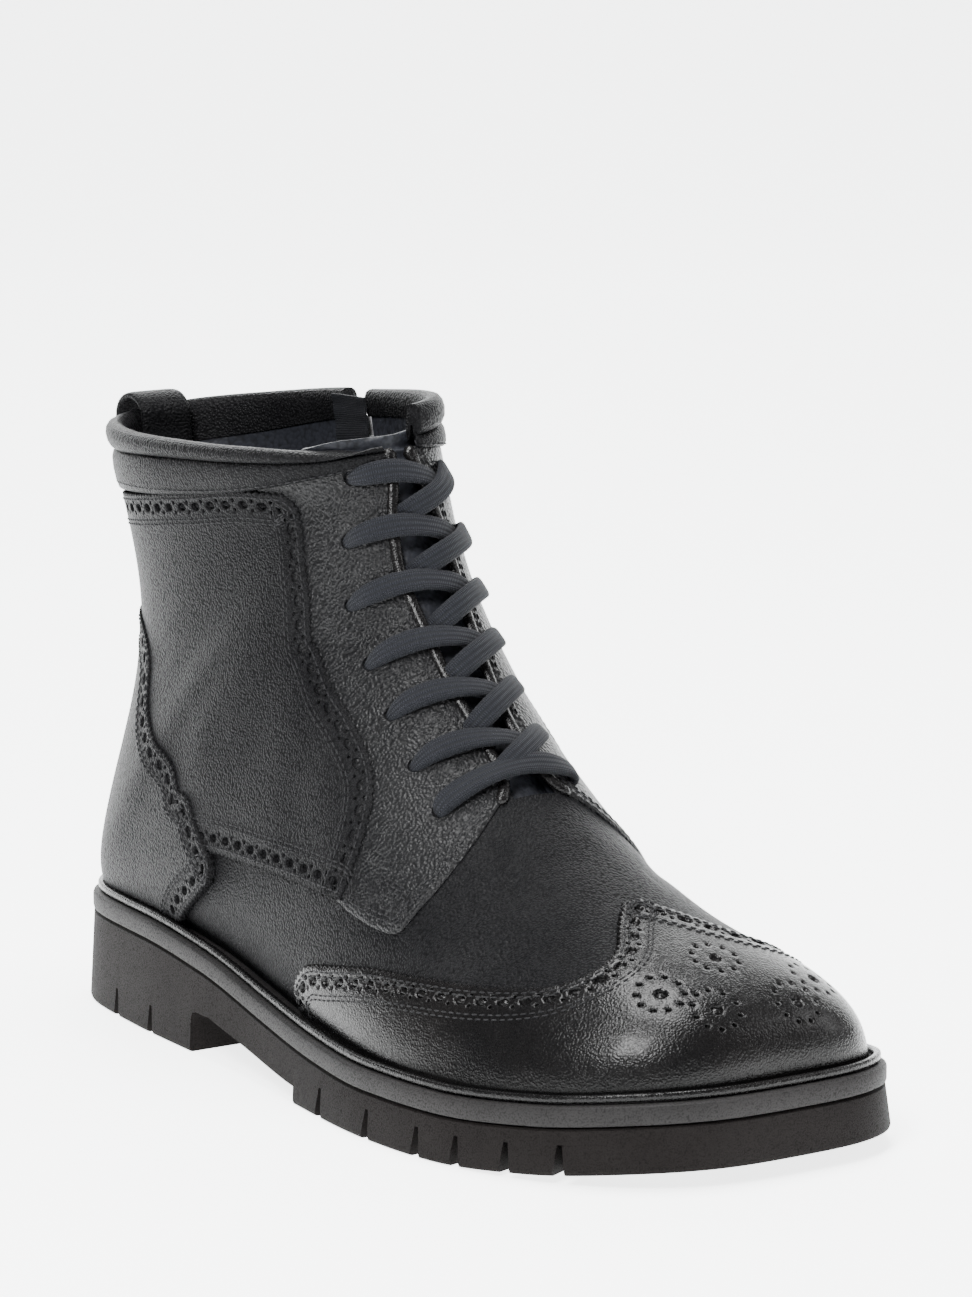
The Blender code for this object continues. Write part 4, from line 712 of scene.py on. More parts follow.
@dataclass
class Panel:
    """One cut piece of leather on the last, with rounded edges and punched holes."""

    name: str
    outline: Array
    look: bpy.types.Material
    base: float = 0.0
    top: float = 0.0011
    rounding: float = 0.00045
    holes: list = field(default_factory=list)
    spacing: float = 0.0016
    pit: float = 0.0010
    lip: tuple = (1.32, 0.0)
    rim: tuple = (1.0, 0.00018)
    floor: float = 0.80

    def flat(self, line: Array) -> Array:
        """Lay rows of (u, v) flat, in metres."""
        return line * FLAT

    def rings_of(self, hole: Hole) -> list:
        """The lip, rim and floor of one hole.

        Args:
            hole: its place, radius, length share and direction.

        Returns:
            (u, v) rows and heights for each ring.
        """
        count = 12 if hole.radius > 0.0009 else 8
        spot = np.array([[hole.u, hole.v]])
        normal = LAST.normal(spot)[0]
        run = np.array(hole.turn)
        run = run - normal * (run @ normal)
        run /= np.linalg.norm(run)
        side = np.cross(normal, run)
        turn = np.arange(count) * 2 * math.pi / count
        made = []
        for share, drop in (self.lip, self.rim, (self.floor, self.pit)):
            move = np.cos(turn)[:, None] * run * hole.long + np.sin(turn)[:, None] * side
            move = move * hole.radius * share
            made.append((LAST.shift(np.repeat(spot, count, 0), move), self.top - drop))
        return made

    def build(self) -> bpy.types.Object:
        """Cut the panel to its outline and lay it on the last.

        Returns:
            The new object.
        """
        outline = self.outline
        flat = self.flat(outline)
        area = (flat[:, 0] * np.roll(flat[:, 1], -1) - np.roll(flat[:, 0], -1) * flat[:, 1]).sum()
        if area < 0:
            outline = outline[::-1]
        inward = LAST.sideways(outline, True)
        probe = self.flat(LAST.shift(outline, inward * TEST_STEP))
        if inside(self.flat(outline), probe).mean() < 0.5:
            inward = -inward
        brim = LAST.shift(outline, inward * self.rounding)
        count = len(brim)
        rows = [brim]
        heights = [np.full(count, self.top)]
        edges = []
        total = count
        guard = [self.flat(brim)]
        for hole in self.holes:
            for line, height in self.rings_of(hole):
                size = len(line)
                rows.append(line)
                heights.append(np.full(size, height))
                edges += [(total + k, total + (k + 1) % size) for k in range(size)]
                total += size
                guard.append(self.flat(line))
        ring = self.flat(brim)
        low, high = ring.min(0), ring.max(0)
        x = np.arange(low[0], high[0], self.spacing * 0.85)
        y = np.arange(low[1], high[1], self.spacing)
        field_points = np.stack(np.meshgrid(x, y, indexing="ij"), -1).reshape(-1, 2)
        field_points = field_points[inside(ring, field_points)]
        field_points = field_points[nearest(field_points, np.vstack(guard)) > self.spacing * 0.45]
        rows.append(field_points / FLAT)
        heights.append(np.full(len(field_points), self.top))
        line = np.vstack(rows)
        height = np.concatenate(heights)
        plane = self.flat(line)
        made = delaunay_2d_cdt([Vector(p) for p in plane], edges, [list(range(count))], 1, 1e-7)
        places = np.array([tuple(p) for p in made[0]])
        source = np.array([min(s) if s else -1 for s in made[3]])
        tall = np.where(source >= 0, height[np.maximum(source, 0)], self.top)
        here = places / FLAT
        points = LAST.place(here, tall)
        faces = [tuple(face) for face, origin in zip(made[2], made[5]) if origin]
        slot = {int(s): k for k, s in enumerate(source) if s >= 0}
        start = len(points)
        edge = LAST.place(outline, self.top - self.rounding * 0.7)
        foot = LAST.place(outline, self.base)
        points = np.vstack([points, edge, foot])
        for k in range(count):
            m = (k + 1) % count
            if k in slot and m in slot:
                faces.append((slot[k], slot[m], start + m, start + k))
            faces.append((start + k, start + m, start + count + m, start + count + k))
        place = SOLE_LENGTH / 2 - points[:, 1]
        hidden = points[:, 2] < ledge_top(place) - TUCKED_IN
        faces = [face for face in faces if not all(hidden[k] for k in face)]
        return add_piece(self.name, points, faces, self.look, 50.0)


def feed(tree: bpy.types.NodeTree, node: bpy.types.Node, sockets: dict) -> None:
    """Set or connect a node's inputs.

    Args:
        tree: the tree that it is in.
        node: the node.
        sockets: an input's name or number to its value, or to the output that feeds it.
    """
    for key, value in sockets.items():
        if isinstance(value, bpy.types.NodeSocket):
            tree.links.new(value, node.inputs[key])
        else:
            node.inputs[key].default_value = value


def add_node(tree: bpy.types.NodeTree, kind: str, sockets: dict, **options: object) -> bpy.types.Node:
    """Add one shader node.

    Args:
        tree: the tree that it goes in.
        kind: the kind of node, after "ShaderNode".
        sockets: its inputs, as feed takes them.
        options: the node's own settings.

    Returns:
        The new node.
    """
    node = tree.nodes.new("ShaderNode" + kind)
    for name, value in options.items():
        setattr(node, name, value)
    feed(tree, node, sockets)
    return node


def new_look(name: str) -> tuple:
    """Make an empty material.

    Args:
        name: its name.

    Returns:
        The material, its tree and its shader node.
    """
    look = bpy.data.materials.new(name)
    look.use_nodes = True
    return look, look.node_tree, look.node_tree.nodes["Principled BSDF"]


class Groups:
    """Shared shader node groups, each built once."""

    made: dict = {}

    @classmethod
    def start(cls, name: str, inputs: dict, outputs: tuple) -> tuple:
        """Open a new group with its sockets.

        Args:
            name: the group's name.
            inputs: name of each number that it takes to its default.
            outputs: names of the numbers that it gives.

        Returns:
            The group, its input's sockets and its output node.
        """
        tree = bpy.data.node_groups.new(name, "ShaderNodeTree")
        tree.interface.new_socket(name="Place", in_out="INPUT", socket_type="NodeSocketVector")
        for key, value in inputs.items():
            socket = tree.interface.new_socket(name=key, in_out="INPUT", socket_type="NodeSocketFloat")
            socket.default_value = value
        for key in outputs:
            tree.interface.new_socket(name=key, in_out="OUTPUT", socket_type="NodeSocketFloat")
        return tree, tree.nodes.new("NodeGroupInput").outputs, tree.nodes.new("NodeGroupOutput")

    @classmethod
    def grain(cls) -> bpy.types.NodeTree:
        """Pebbled leather grain: a height, and a mask of the hollows between pebbles, which the finishes use
        for painted shade and higher roughness there.

        Returns:
            The node group.
        """
        if "grain" in cls.made:
            return cls.made["grain"]
        tree, given, leave = cls.start("leather_grain", {"Pebble": 900.0, "Stretch": 0.35},
                                       ("Height", "Hollow"))
        place = given["Place"]
        drift = add_node(tree, "TexNoise", {"Scale": 160.0, "Detail": 2.0, "Vector": place})
        push = add_node(tree, "VectorMath", {0: drift.outputs["Color"], 1: (0.0022, 0.0022, 0.0022),
                                             2: place},
                        operation="MULTIPLY_ADD")
        cells = add_node(tree, "TexVoronoi", {"Smoothness": 0.35, "Vector": push.outputs["Vector"],
                                              "Scale": given["Pebble"]}, feature="SMOOTH_F1")
        finer = add_node(tree, "Math", {0: given["Pebble"], 1: 2.3}, operation="MULTIPLY")
        fine = add_node(tree, "TexNoise", {"Detail": 4.0, "Scale": finer.outputs[0], "Vector": place})
        gap = cells.outputs["Distance"]
        dome = add_node(tree, "MapRange", {"From Max": 0.75, "To Min": 1.0, "To Max": 0.0, "Value": gap})
        height = add_node(tree, "Math", {0: fine.outputs["Fac"], 1: given["Stretch"],
                                         2: dome.outputs["Result"]}, operation="MULTIPLY_ADD")
        hollow = add_node(tree, "MapRange", {"From Min": 0.45, "From Max": 0.85, "Value": gap})
        feed(tree, leave, {"Height": height.outputs[0], "Hollow": hollow.outputs["Result"]})
        cls.made["grain"] = tree
        return tree

    @classmethod
    def wear(cls) -> bpy.types.NodeTree:
        """Slow cloudy change and fine scuffs: two masks from 0 to 1.

        Returns:
            The node group.
        """
        if "wear" in cls.made:
            return cls.made["wear"]
        tree, given, leave = cls.start("handling_wear", {"Cloud": 22.0, "Scuff": 210.0},
                                       ("Cloudy", "Scuffs"))
        for name, key, low, high, detail in (("Cloudy", "Cloud", 0.32, 0.70, 3.0),
                                             ("Scuffs", "Scuff", 0.60, 0.82, 6.0)):
            noise = add_node(tree, "TexNoise", {"Detail": detail, "Roughness": 0.62,
                                                "Vector": given["Place"], "Scale": given[key]})
            clip = add_node(tree, "MapRange", {"From Min": low, "From Max": high,
                                               "Value": noise.outputs["Fac"]})
            feed(tree, leave, {name: clip.outputs["Result"]})
        cls.made["wear"] = tree
        return tree


@dataclass(frozen=True)
class Finish:
    """One finish: its colours, gloss and relief, made into a material."""

    name: str
    colour: tuple
    pale: tuple
    rough: float
    rough_change: float
    pebble: float
    relief: float
    coat: float = 0.0
    coat_rough: float = 0.3
    metal: float = 0.0
    fine: float = 0.35
    shine: float = 0.17

    def make(self) -> bpy.types.Material:
        """Build the material.

        Returns:
            The new material.
        """
        look, tree, shader = new_look(self.name)
        place = add_node(tree, "TexCoord", {}).outputs["Object"]
        grain = add_node(tree, "Group", {"Pebble": self.pebble, "Stretch": self.fine, "Place": place},
                         node_tree=Groups.grain()).outputs
        wear = add_node(tree, "Group", {"Place": place}, node_tree=Groups.wear()).outputs
        tint = add_node(tree, "Mix", {"A": (*self.colour, 1), "B": (*self.pale, 1), "Factor": wear["Cloudy"]},
                        data_type="RGBA")
        # Painted shade: the colour is multiplied by 0.45 grey in the grain's hollows.
        painted_hollow_shade = add_node(tree, "Mix", {"A": tint.outputs["Result"], "B": (0.45, 0.45, 0.45, 1),
                                       "Factor": grain["Hollow"]}, data_type="RGBA", blend_type="MULTIPLY")
        both = add_node(tree, "Math", {0: wear["Scuffs"], 1: grain["Hollow"]}, operation="MAXIMUM")
        most = min(self.rough + self.rough_change, 1.0)
        rough = add_node(tree, "MapRange", {"To Min": self.rough, "To Max": most, "Value": both.outputs[0]})
        bump = add_node(tree, "Bump", {"Strength": 1.0, "Distance": self.relief, "Height": grain["Height"]})
        feed(tree, shader, {"Metallic": self.metal, "Coat Weight": self.coat,
                            "Coat Roughness": self.coat_rough, "Specular IOR Level": self.shine,
                            "Base Color": painted_hollow_shade.outputs["Result"], "Roughness": rough.outputs["Result"],
                            "Normal": bump.outputs["Normal"]})
        return look


@dataclass(frozen=True)
class Woven:
    """A woven cotton finish, ribbed along and across."""

    name: str
    colour: tuple
    pale: tuple
    rough: float = 0.72
    across: float = 7.0
    along: float = 1.2
    relief: float = 0.00022

    def make(self) -> bpy.types.Material:
        """Build the material.

        Returns:
            The new material.
        """
        look, tree, shader = new_look(self.name)
        place = add_node(tree, "TexCoord", {}).outputs["UV"]
        waves = [add_node(tree, "TexWave", {"Scale": scale, "Distortion": 0.6, "Vector": place},
                          bands_direction=axis).outputs["Fac"]
                 for axis, scale in (("X", self.across), ("Y", self.along))]
        weave = add_node(tree, "Math", {0: waves[0], 1: waves[1]}, operation="MULTIPLY").outputs[0]
        tint = add_node(tree, "Mix", {"A": (*self.colour, 1), "B": (*self.pale, 1), "Factor": weave},
                        data_type="RGBA")
        bump = add_node(tree, "Bump", {"Distance": self.relief, "Height": weave})
        feed(tree, shader, {"Roughness": self.rough, "Sheen Weight": 0.02, "Specular IOR Level": 0.15,
                            "Base Color": tint.outputs["Result"], "Normal": bump.outputs["Normal"]})
        return look


FINISHES = (
    Finish("black_leather", (0.0045, 0.0045, 0.005), (0.009, 0.009, 0.0095),
           rough=0.36, rough_change=0.16, pebble=1350.0, relief=0.00034, coat=0.0, coat_rough=0.30,
           shine=0.035),
    Finish("grained_leather", (0.005, 0.005, 0.0055), (0.010, 0.010, 0.0105),
           rough=0.28, rough_change=0.20, pebble=1050.0, relief=0.00038, coat=0.0, coat_rough=0.28,
           shine=0.13),
    Finish("glossy_leather", (0.003, 0.003, 0.0032), (0.006, 0.0055, 0.0055),
           rough=0.22, rough_change=0.14, pebble=1500.0, relief=0.00010, coat=0.06, coat_rough=0.14,
           shine=0.14),
    Finish("lining_leather", (0.010, 0.011, 0.014), (0.018, 0.019, 0.024),
           rough=0.46, rough_change=0.16, pebble=700.0, relief=0.00012),
    Finish("sole_rubber", (0.0055, 0.0046, 0.0044), (0.009, 0.0078, 0.0075),
           rough=0.62, rough_change=0.20, pebble=2600.0, relief=0.00007, shine=0.05),
    Finish("ledge_rubber", (0.013, 0.0125, 0.0125), (0.020, 0.019, 0.019),
           rough=0.50, rough_change=0.20, pebble=2200.0, relief=0.00006, shine=0.08),
    Finish("dark_steel", (0.11, 0.11, 0.115), (0.17, 0.17, 0.175),
           rough=0.30, rough_change=0.20, pebble=3200.0, relief=0.00002, metal=1.0),
    Finish("stitch_thread", (0.007, 0.007, 0.008), (0.013, 0.013, 0.014),
           rough=0.60, rough_change=0.15, pebble=4200.0, relief=0.00006),
    Woven("waxed_cotton", (0.0025, 0.003, 0.0045), (0.010, 0.011, 0.016)),
)


@dataclass
class Studio:
    """Camera, soft lights and a pale floor that runs up into a backdrop."""

    turn: float = -34.0
    lift: float = 11.0
    roll: float = -0.3
    distance: float = 1.570
    target: tuple = (-0.0058, 0.00456, 0.090)
    lens: float = 201.5
    shift: tuple = (0.071, 0.1204)
    floor_colour: tuple = (0.86, 0.87, 0.87, 1)
    floor_glow: float = 4.0
    paper_bend: tuple = (2.2, 0.8)
    room: float = 0.12

    def camera(self) -> None:
        """Place the camera at the photograph's angle."""
        a, e, r = (math.radians(x) for x in (self.turn, self.lift, self.roll))
        back = Vector((math.sin(a) * math.cos(e), -math.cos(a) * math.cos(e), math.sin(e)))
        right = Vector((math.cos(a), math.sin(a), 0))
        up = back.cross(right)
        side = right * math.cos(r) + up * math.sin(r)
        top = -right * math.sin(r) + up * math.cos(r)
        data = bpy.data.cameras.new("boot_camera")
        data.sensor_fit = "HORIZONTAL"
        data.sensor_width = 36.0
        data.lens = self.lens
        data.shift_x, data.shift_y = self.shift
        data.clip_start = 0.05
        eye = bpy.data.objects.new("boot_camera", data)
        bpy.context.scene.collection.objects.link(eye)
        turned = Matrix((side, top, back)).transposed().to_4x4()
        turned.translation = Vector(self.target) + back * self.distance
        eye.matrix_world = turned
        bpy.context.scene.camera = eye

    def lamp(self, name: str, place: tuple, size: tuple, power: float, aim: tuple = (0, 0, 0.07)) -> None:
        """Add one soft box.

        Args:
            name: its name.
            place: its middle, in metres.
            size: its two sides.
            power: its power in watts.
            aim: the point it faces.
        """
        data = bpy.data.lights.new(name, "AREA")
        data.shape = "RECTANGLE"
        data.size, data.size_y = size
        data.energy = power
        lamp = bpy.data.objects.new(name, data)
        bpy.context.scene.collection.objects.link(lamp)
        lamp.location = place
        lamp.rotation_euler = (Vector(aim) - Vector(place)).to_track_quat("-Z", "Y").to_euler()

    def build(self) -> None:
        """Make the floor, the lights and the world."""
        start, bend = self.paper_bend
        profile = [(y, 0.0) for y in (-9.0, -3.0, -1.0, 0.0, 1.0, start)]
        profile += [(start + math.sin(a) * bend, bend - math.cos(a) * bend)
                    for a in np.linspace(0.1, math.pi / 2, 12)]
        profile += [(3.0, 1.6), (3.0, 3.2)]
        turn = Matrix.Rotation(math.radians(self.turn), 3, "Z")
        rings = np.array([[turn @ Vector((x, y, z)) for x in np.linspace(-3, 3, 9)] for y, z in profile])
        look, tree, shader = new_look("studio_paper")
        noise = add_node(tree, "TexNoise", {"Scale": 6.0})
        even = add_node(tree, "MapRange", {"To Min": 0.75, "To Max": 0.85, "Value": noise.outputs["Fac"]})
        feed(tree, shader, {"Base Color": self.floor_colour, "Emission Color": self.floor_colour,
                            "Emission Strength": self.floor_glow, "Roughness": even.outputs["Result"]})
        floor = add_piece("studio_floor", *loft(rings), look, recalc=False)
        world = bpy.data.worlds.new("soft_room")
        bpy.context.scene.world = world
        world.use_nodes = True
        feed(world.node_tree, world.node_tree.nodes["Background"],
             {"Color": (0.93, 0.96, 1.0, 1), "Strength": self.room})
        self.lamp("key_box", (-0.95, -0.6, 1.3), (0.5, 0.7), 60.0)
        self.lamp("fill_box", (1.2, -0.7, 0.8), (0.4, 0.9), 8.0)
        self.lamp("top_box", (0.1, 0.1, 1.7), (0.6, 0.9), 56.0)
        self.lamp("back_box", (0.5, 1.5, 1.0), (0.9, 0.9), 8.0)


@dataclass
class Stitching:
    """Thread in all the seams: short rounded stitches that follow lines on the last."""

    pitch: float = 0.0027
    length: float = 0.0020
    radius: float = 0.00026
    sides: int = 6
    rings: list = field(default_factory=list)

    def sew(self, line: Array, height: float) -> None:
        """Lay stitches along a line.

        Args:
            line: (u, v) rows.
            height: height of the leather there.
        """
        spots = LAST.even(line, self.pitch)
        here = LAST.place(spots, height + self.radius * 0.25)
        run = np.gradient(here, axis=0)
        run /= np.maximum(np.linalg.norm(run, axis=1), 1e-12)[:, None]
        out = LAST.normal(spots)
        side = np.cross(out, run)
        turn = np.arange(self.sides) * 2 * math.pi / self.sides
        for p, r, n, s in zip(here, run, out, side):
            if p[2] < ledge_top(SOLE_LENGTH / 2 - p[1]) + 0.0006:
                continue
            for share, size, sink in ((-0.5, 0.35, 0.7), (-0.28, 1.0, 0.0), (0.28, 1.0, 0.0),
                                      (0.5, 0.35, 0.7)):
                middle = p + r * self.length * share - n * self.radius * sink
                ring = [middle + (s * math.cos(a) + n * math.sin(a)) * self.radius * size for a in turn]
                self.rings.append(ring)

    def build(self, look: bpy.types.Material) -> bpy.types.Object:
        """Make the stitches into one mesh.

        Args:
            look: the material of the thread.

        Returns:
            The new object.
        """
        rings = np.array(self.rings)
        points = rings.reshape(-1, 3)
        faces = []
        for start in range(0, len(rings), 4):
            for k in range(3):
                low, high = (start + k) * self.sides, (start + k + 1) * self.sides
                for j in range(self.sides):
                    m = (j + 1) % self.sides
                    faces.append((low + j, low + m, high + m, high + j))
            first, last = start * self.sides, (start + 3) * self.sides
            faces.append(tuple(first + j for j in reversed(range(self.sides))))
            faces.append(tuple(last + j for j in range(self.sides)))
        return add_piece("stitching", points, faces, look, 80.0, recalc=False)


@dataclass
class Leathers:
    """The upper: skin, lining and every panel, with its holes and seams."""

    looks: dict
    thread: Stitching
    band: float = 0.0082
    seam_step: float = 0.0015
    edge_seam: float = 0.0017
    seam_gap: float = 0.0013
    cap_seam: float = 0.0030
    throat_seams: tuple = (0.0030, 0.0044)
    hole_pitch: float = 0.0072
    oval: float = 0.00138
    oval_long: float = 1.45
    dot: float = 0.00060
    dot_gap: float = 0.0015
    lace_hole: float = 0.0023
    large_hole: float = 0.0018
    small_hole: float = 0.00078
    ring_reach: float = 0.0066
    ring_holes: int = 10
    ring_clear: float = 0.0030
    forward: tuple = (1.0, 0.1, 0.0)
    fold_size: float = 0.0016
    tack_gap: float = 0.006
    level_low: float = 0.0011
    level_mid: float = 0.0019
    level_high: float = 0.0026

    def skin(self) -> list:
        """The smooth leather under the panels and the lining inside it.

        Returns:
            The two objects.
        """
        rows = np.linspace(0, TOP_ROW, 12 * TOP_ROW + 1)
        columns = np.linspace(0, 1, 241)
        u, v = np.meshgrid(rows, columns, indexing="ij")
        line = np.stack([u.ravel(), v.ravel()], 1)
        signed = np.where(line[:, 1] <= 0.5, line[:, 1], line[:, 1] - 1)
        collar = edge_at(COLLAR, COLLAR_INNER, signed) - 0.12
        middle = np.abs(line[:, 1] - 0.5)
        open_throat = (line[:, 0] > THROAT_ROW + 0.1) & (middle < THROAT_HALF - 0.004)
        slot = (line[:, 0] > ZIP_ROW + 0.05) & (np.abs(line[:, 1] - ZIP_COLUMN) < ZIP_HALF + 0.002)
        made = []
        for name, height, sink, look in (("vamp_skin", 0.0, -0.0015, "black_leather"),
                                         ("lining", -WALL, -0.0002, "lining_leather")):
            points = LAST.place(line, height)
            low = points[:, 2] < ledge_top(SOLE_LENGTH / 2 - points[:, 1]) + sink
            gone = open_throat | slot | (line[:, 0] > collar) | low
            wide = len(columns)
            faces = []
            for i in range(len(rows) - 1):
                for j in range(wide - 1):
                    corners = (i * wide + j, i * wide + j + 1, (i + 1) * wide + j + 1, (i + 1) * wide + j)
                    if not any(gone[k] for k in corners):
                        faces.append(corners if name == "vamp_skin" else corners[::-1])
            made.append(add_piece(name, points, faces, self.looks[look], 80.0, recalc=False))
        return made

    def band_holes(self, line: Array, inset: float) -> list:
        """Large ovals with a pair of dots between them, along a line set in from an edge.

        Args:
            line: the edge's (u, v) rows, with the panel on its left.
            inset: distance from the edge.

        Returns:
            The holes.
        """
        holes = []
        middle = LAST.even(LAST.beside(LAST.even(line, 0.002), inset), self.hole_pitch / 2)
        points = LAST.place(middle)
        run = np.gradient(points, axis=0)
        run /= np.linalg.norm(run, axis=1)[:, None]
        side = LAST.sideways(middle)
        for k in range(1, len(middle) - 1):
            if points[k, 2] < ledge_top(SOLE_LENGTH / 2 - points[k, 1]) + 0.003:
                continue
            if k % 2:
                holes.append(Hole(*middle[k], self.oval, self.oval_long, tuple(run[k])))
                continue
            for sign in (-1, 1):
                spot = LAST.shift(middle[k:k + 1], side[k:k + 1] * sign * self.dot_gap)[0]
                holes.append(Hole(*spot, self.dot, 1.0, tuple(run[k])))
        return holes

    def dress(self, line: Array, top: float) -> list:
        """Sew a decorated edge and punch its band.

        Args:
            line: the edge, with the panel on its left.
            top: height of the panel.

        Returns:
            The band's holes.
        """
        base = LAST.even(line, self.seam_step)
        self.thread.sew(LAST.beside(base, self.edge_seam), top)
        self.thread.sew(LAST.beside(base, self.band), top)
        self.thread.sew(LAST.beside(base, self.band + self.seam_gap), top)
        return self.band_holes(base, self.band * 0.52)

    def leftward(self, line: Array, target: tuple) -> Array:
        """Turn a line so that the target lies on its left.

        Args:
            line: (u, v) rows.
            target: a (u, v) on the wanted side.

        Returns:
            The line, turned round where it needs to be.
        """
        middle = line[len(line) // 2:len(line) // 2 + 1]
        side = LAST.sideways(line)[len(line) // 2]
        aim = LAST.place(np.array([target], float))[0] - LAST.place(middle)[0]
        return line if side @ aim > 0 else line[::-1]

    def toe_cap(self) -> bpy.types.Object:
        """The winged toe cap with its band and medallion.

        Returns:
            The new object.
        """
        edge = np.vstack([smooth(CAP_EDGE[::-1]), smooth([(u, 1 - v) for u, v in CAP_EDGE])])
        edge = self.leftward(edge, (2.0, 0.5))
        holes = self.dress(edge, self.level_low)
        for u, v in MEDALLION:
            holes.append(Hole(u, v, self.large_hole, 1.0, self.forward))
        for u, v in MEDALLION:
            spot = np.array([[u, v]])
            normal = LAST.normal(spot)[0]
            across = np.cross(normal, (0.0, 1.0, 0.0))
            across /= np.linalg.norm(across)
            along = np.cross(normal, across)
            for turn in np.linspace(0, 2 * math.pi, self.ring_holes, endpoint=False):
                move = (across * math.cos(turn) + along * math.sin(turn)) * self.ring_reach
                at = LAST.shift(spot, move[None])[0]
                here = LAST.place(at[None])[0]
                near = [np.linalg.norm(here - LAST.place(np.array([[h.u, h.v]]))[0]) for h in holes]
                if min(near) > self.ring_clear:
                    holes.append(Hole(*at, self.small_hole, 1.0, self.forward))
        self.thread.sew(LAST.beside(LAST.even(edge, self.seam_step), self.cap_seam), self.level_low)
        line = LAST.pinked(edge)
        closing = [(0.0, edge[-1][1]), (0.0, 1 - edge[-1][1])]
        outline = np.vstack([line, closing])
        return Panel("toe_cap_leather", outline, self.looks["glossy_leather"], top=self.level_low,
                     holes=holes, spacing=0.0014).build()

    def facing(self, side: Side) -> bpy.types.Object:
        """One grained lacing panel with a folded throat edge.

        Args:
            side: the side of the foot.

        Returns:
            The new object.
        """
        throat = smooth(side.place(THROAT_EDGE))
        front = smooth(side.place(THROAT_EDGE[-1:] + FACING_FRONT))
        back = smooth(side.place(FACING_BACK))
        outline = np.vstack([throat[:-1], front, back])
        even = LAST.even(outline, 0.0012, closed=True)
        rows, shares = LACE_ROWS, OUTER_HOLES if side is Side.OUTER else INNER_HOLES
        holes = [Hole(u, v, self.lace_hole, 1.0, self.forward) for u, v in zip(rows, shares)]
        whole = self.leftward(np.vstack([throat[:-1], front]), side.place(((11.0, 0.40),))[0])
        for inset in self.throat_seams:
            self.thread.sew(LAST.beside(LAST.even(whole, self.seam_step), inset), self.level_low)
        return Panel(f"facing_{side.value}_leather", even, self.looks["grained_leather"], top=self.level_low,
                     rounding=0.0008, holes=holes, pit=0.0015).build()

    def fold(self, side: Side) -> bpy.types.Object:
        """The glossy folded edge down the throat on one side, from the collar to the vamp.

        Args:
            side: the side of the foot.

        Returns:
            The new object.
        """
        line = LAST.even(smooth(side.place(THROAT_EDGE)), 0.0016)
        centre = LAST.place(line, 0.0006)
        run = np.gradient(centre, axis=0)
        run /= np.linalg.norm(run, axis=1)[:, None]
        out = LAST.normal(line)
        across = np.cross(out, run)
        rings = []
        for k, (p, n, s) in enumerate(zip(centre, out, across)):
            size = self.fold_size * (0.45 if k in (0, len(centre) - 1) else 1.0)
            size *= 1 + 0.9 * min(max((line[k, 0] - 17.5) / 2.5, 0.0), 1.0)
            rings.append([p + (s * math.cos(a) * 1.15 + n * math.sin(a) * 0.85) * size
                          for a in np.linspace(0, 2 * math.pi, 14, endpoint=False)])
        return add_piece(f"throat_fold_{side.value}", *loft(np.array(rings), closed_ring=True, caps=True),
                         self.looks["glossy_leather"], 70.0)

    def tack(self) -> None:
        """The short bar of stitches at the outer facing's front corner."""
        for across in (-self.tack_gap, 0.0, self.tack_gap):
            line = np.array([(u, v + across) for u, v in TACK])
            self.thread.sew(line, self.level_low)

    def quarter(self, side: Side) -> bpy.types.Object:
        """One rear panel with its pinked band, slotted for the zip on the inner side.

        Args:
            side: the side of the foot.

        Returns:
            The new object.
        """
        top = QUARTER_TOP if side is Side.OUTER else QUARTER_TOP_INNER
        front = side.place(QUARTER_FRONT)
        low = side.place(QUARTER_LOW)
        pinned = np.vstack([smooth(low), smooth(front)])
        if side is Side.OUTER:
            rim = smooth(front[-1:] + side.place(top))
            decorated = np.vstack([pinned, rim[1:]])
            upper = np.zeros((0, 2))
        else:
            start = side.place(top)
            rim = smooth(front[-1:] + start[:3])
            decorated = np.vstack([pinned, rim[1:]])
            upper = np.vstack([np.array(start[3:6]), smooth(start[5:])])
        decorated = self.leftward(decorated, side.place(((12.5, 0.25),))[0])
        holes = self.dress(decorated, self.level_mid)
        line = LAST.pinked(decorated)
        first = np.array(low[0])
        if np.linalg.norm((line[0] - first) * (1, 20)) > np.linalg.norm((line[-1] - first) * (1, 20)):
            line = line[::-1]
        outline = np.vstack([line, upper, np.array(side.place(QUARTER_UNDER))])
        outline = LAST.even(outline, 0.0009, closed=True) if side is Side.INNER else outline
        return Panel(f"rear_quarter_{side.value}_leather", outline, self.looks["black_leather"], base=0.0002,
                     top=self.level_mid, holes=holes, pit=0.0014).build()

    def counter(self) -> bpy.types.Object:
        """The heel patch, one piece round the back seam.

        Returns:
            The new object.
        """
        half = smooth(COUNTER_EDGE)
        front = smooth(COUNTER_EDGE[-1:] + COUNTER_FRONT)[1:]
        outer = np.vstack([half, front])
        inner = outer[::-1] * np.array([1, -1])
        edge = np.vstack([inner, outer[1:]])
        edge = self.leftward(edge, (13.0, 0.0))
        holes = self.dress(edge, self.level_high)
        line = LAST.pinked(edge)
        return Panel("counter_leather", line, self.looks["black_leather"], base=0.0002, top=self.level_high,
                     holes=holes, pit=0.0018).build()

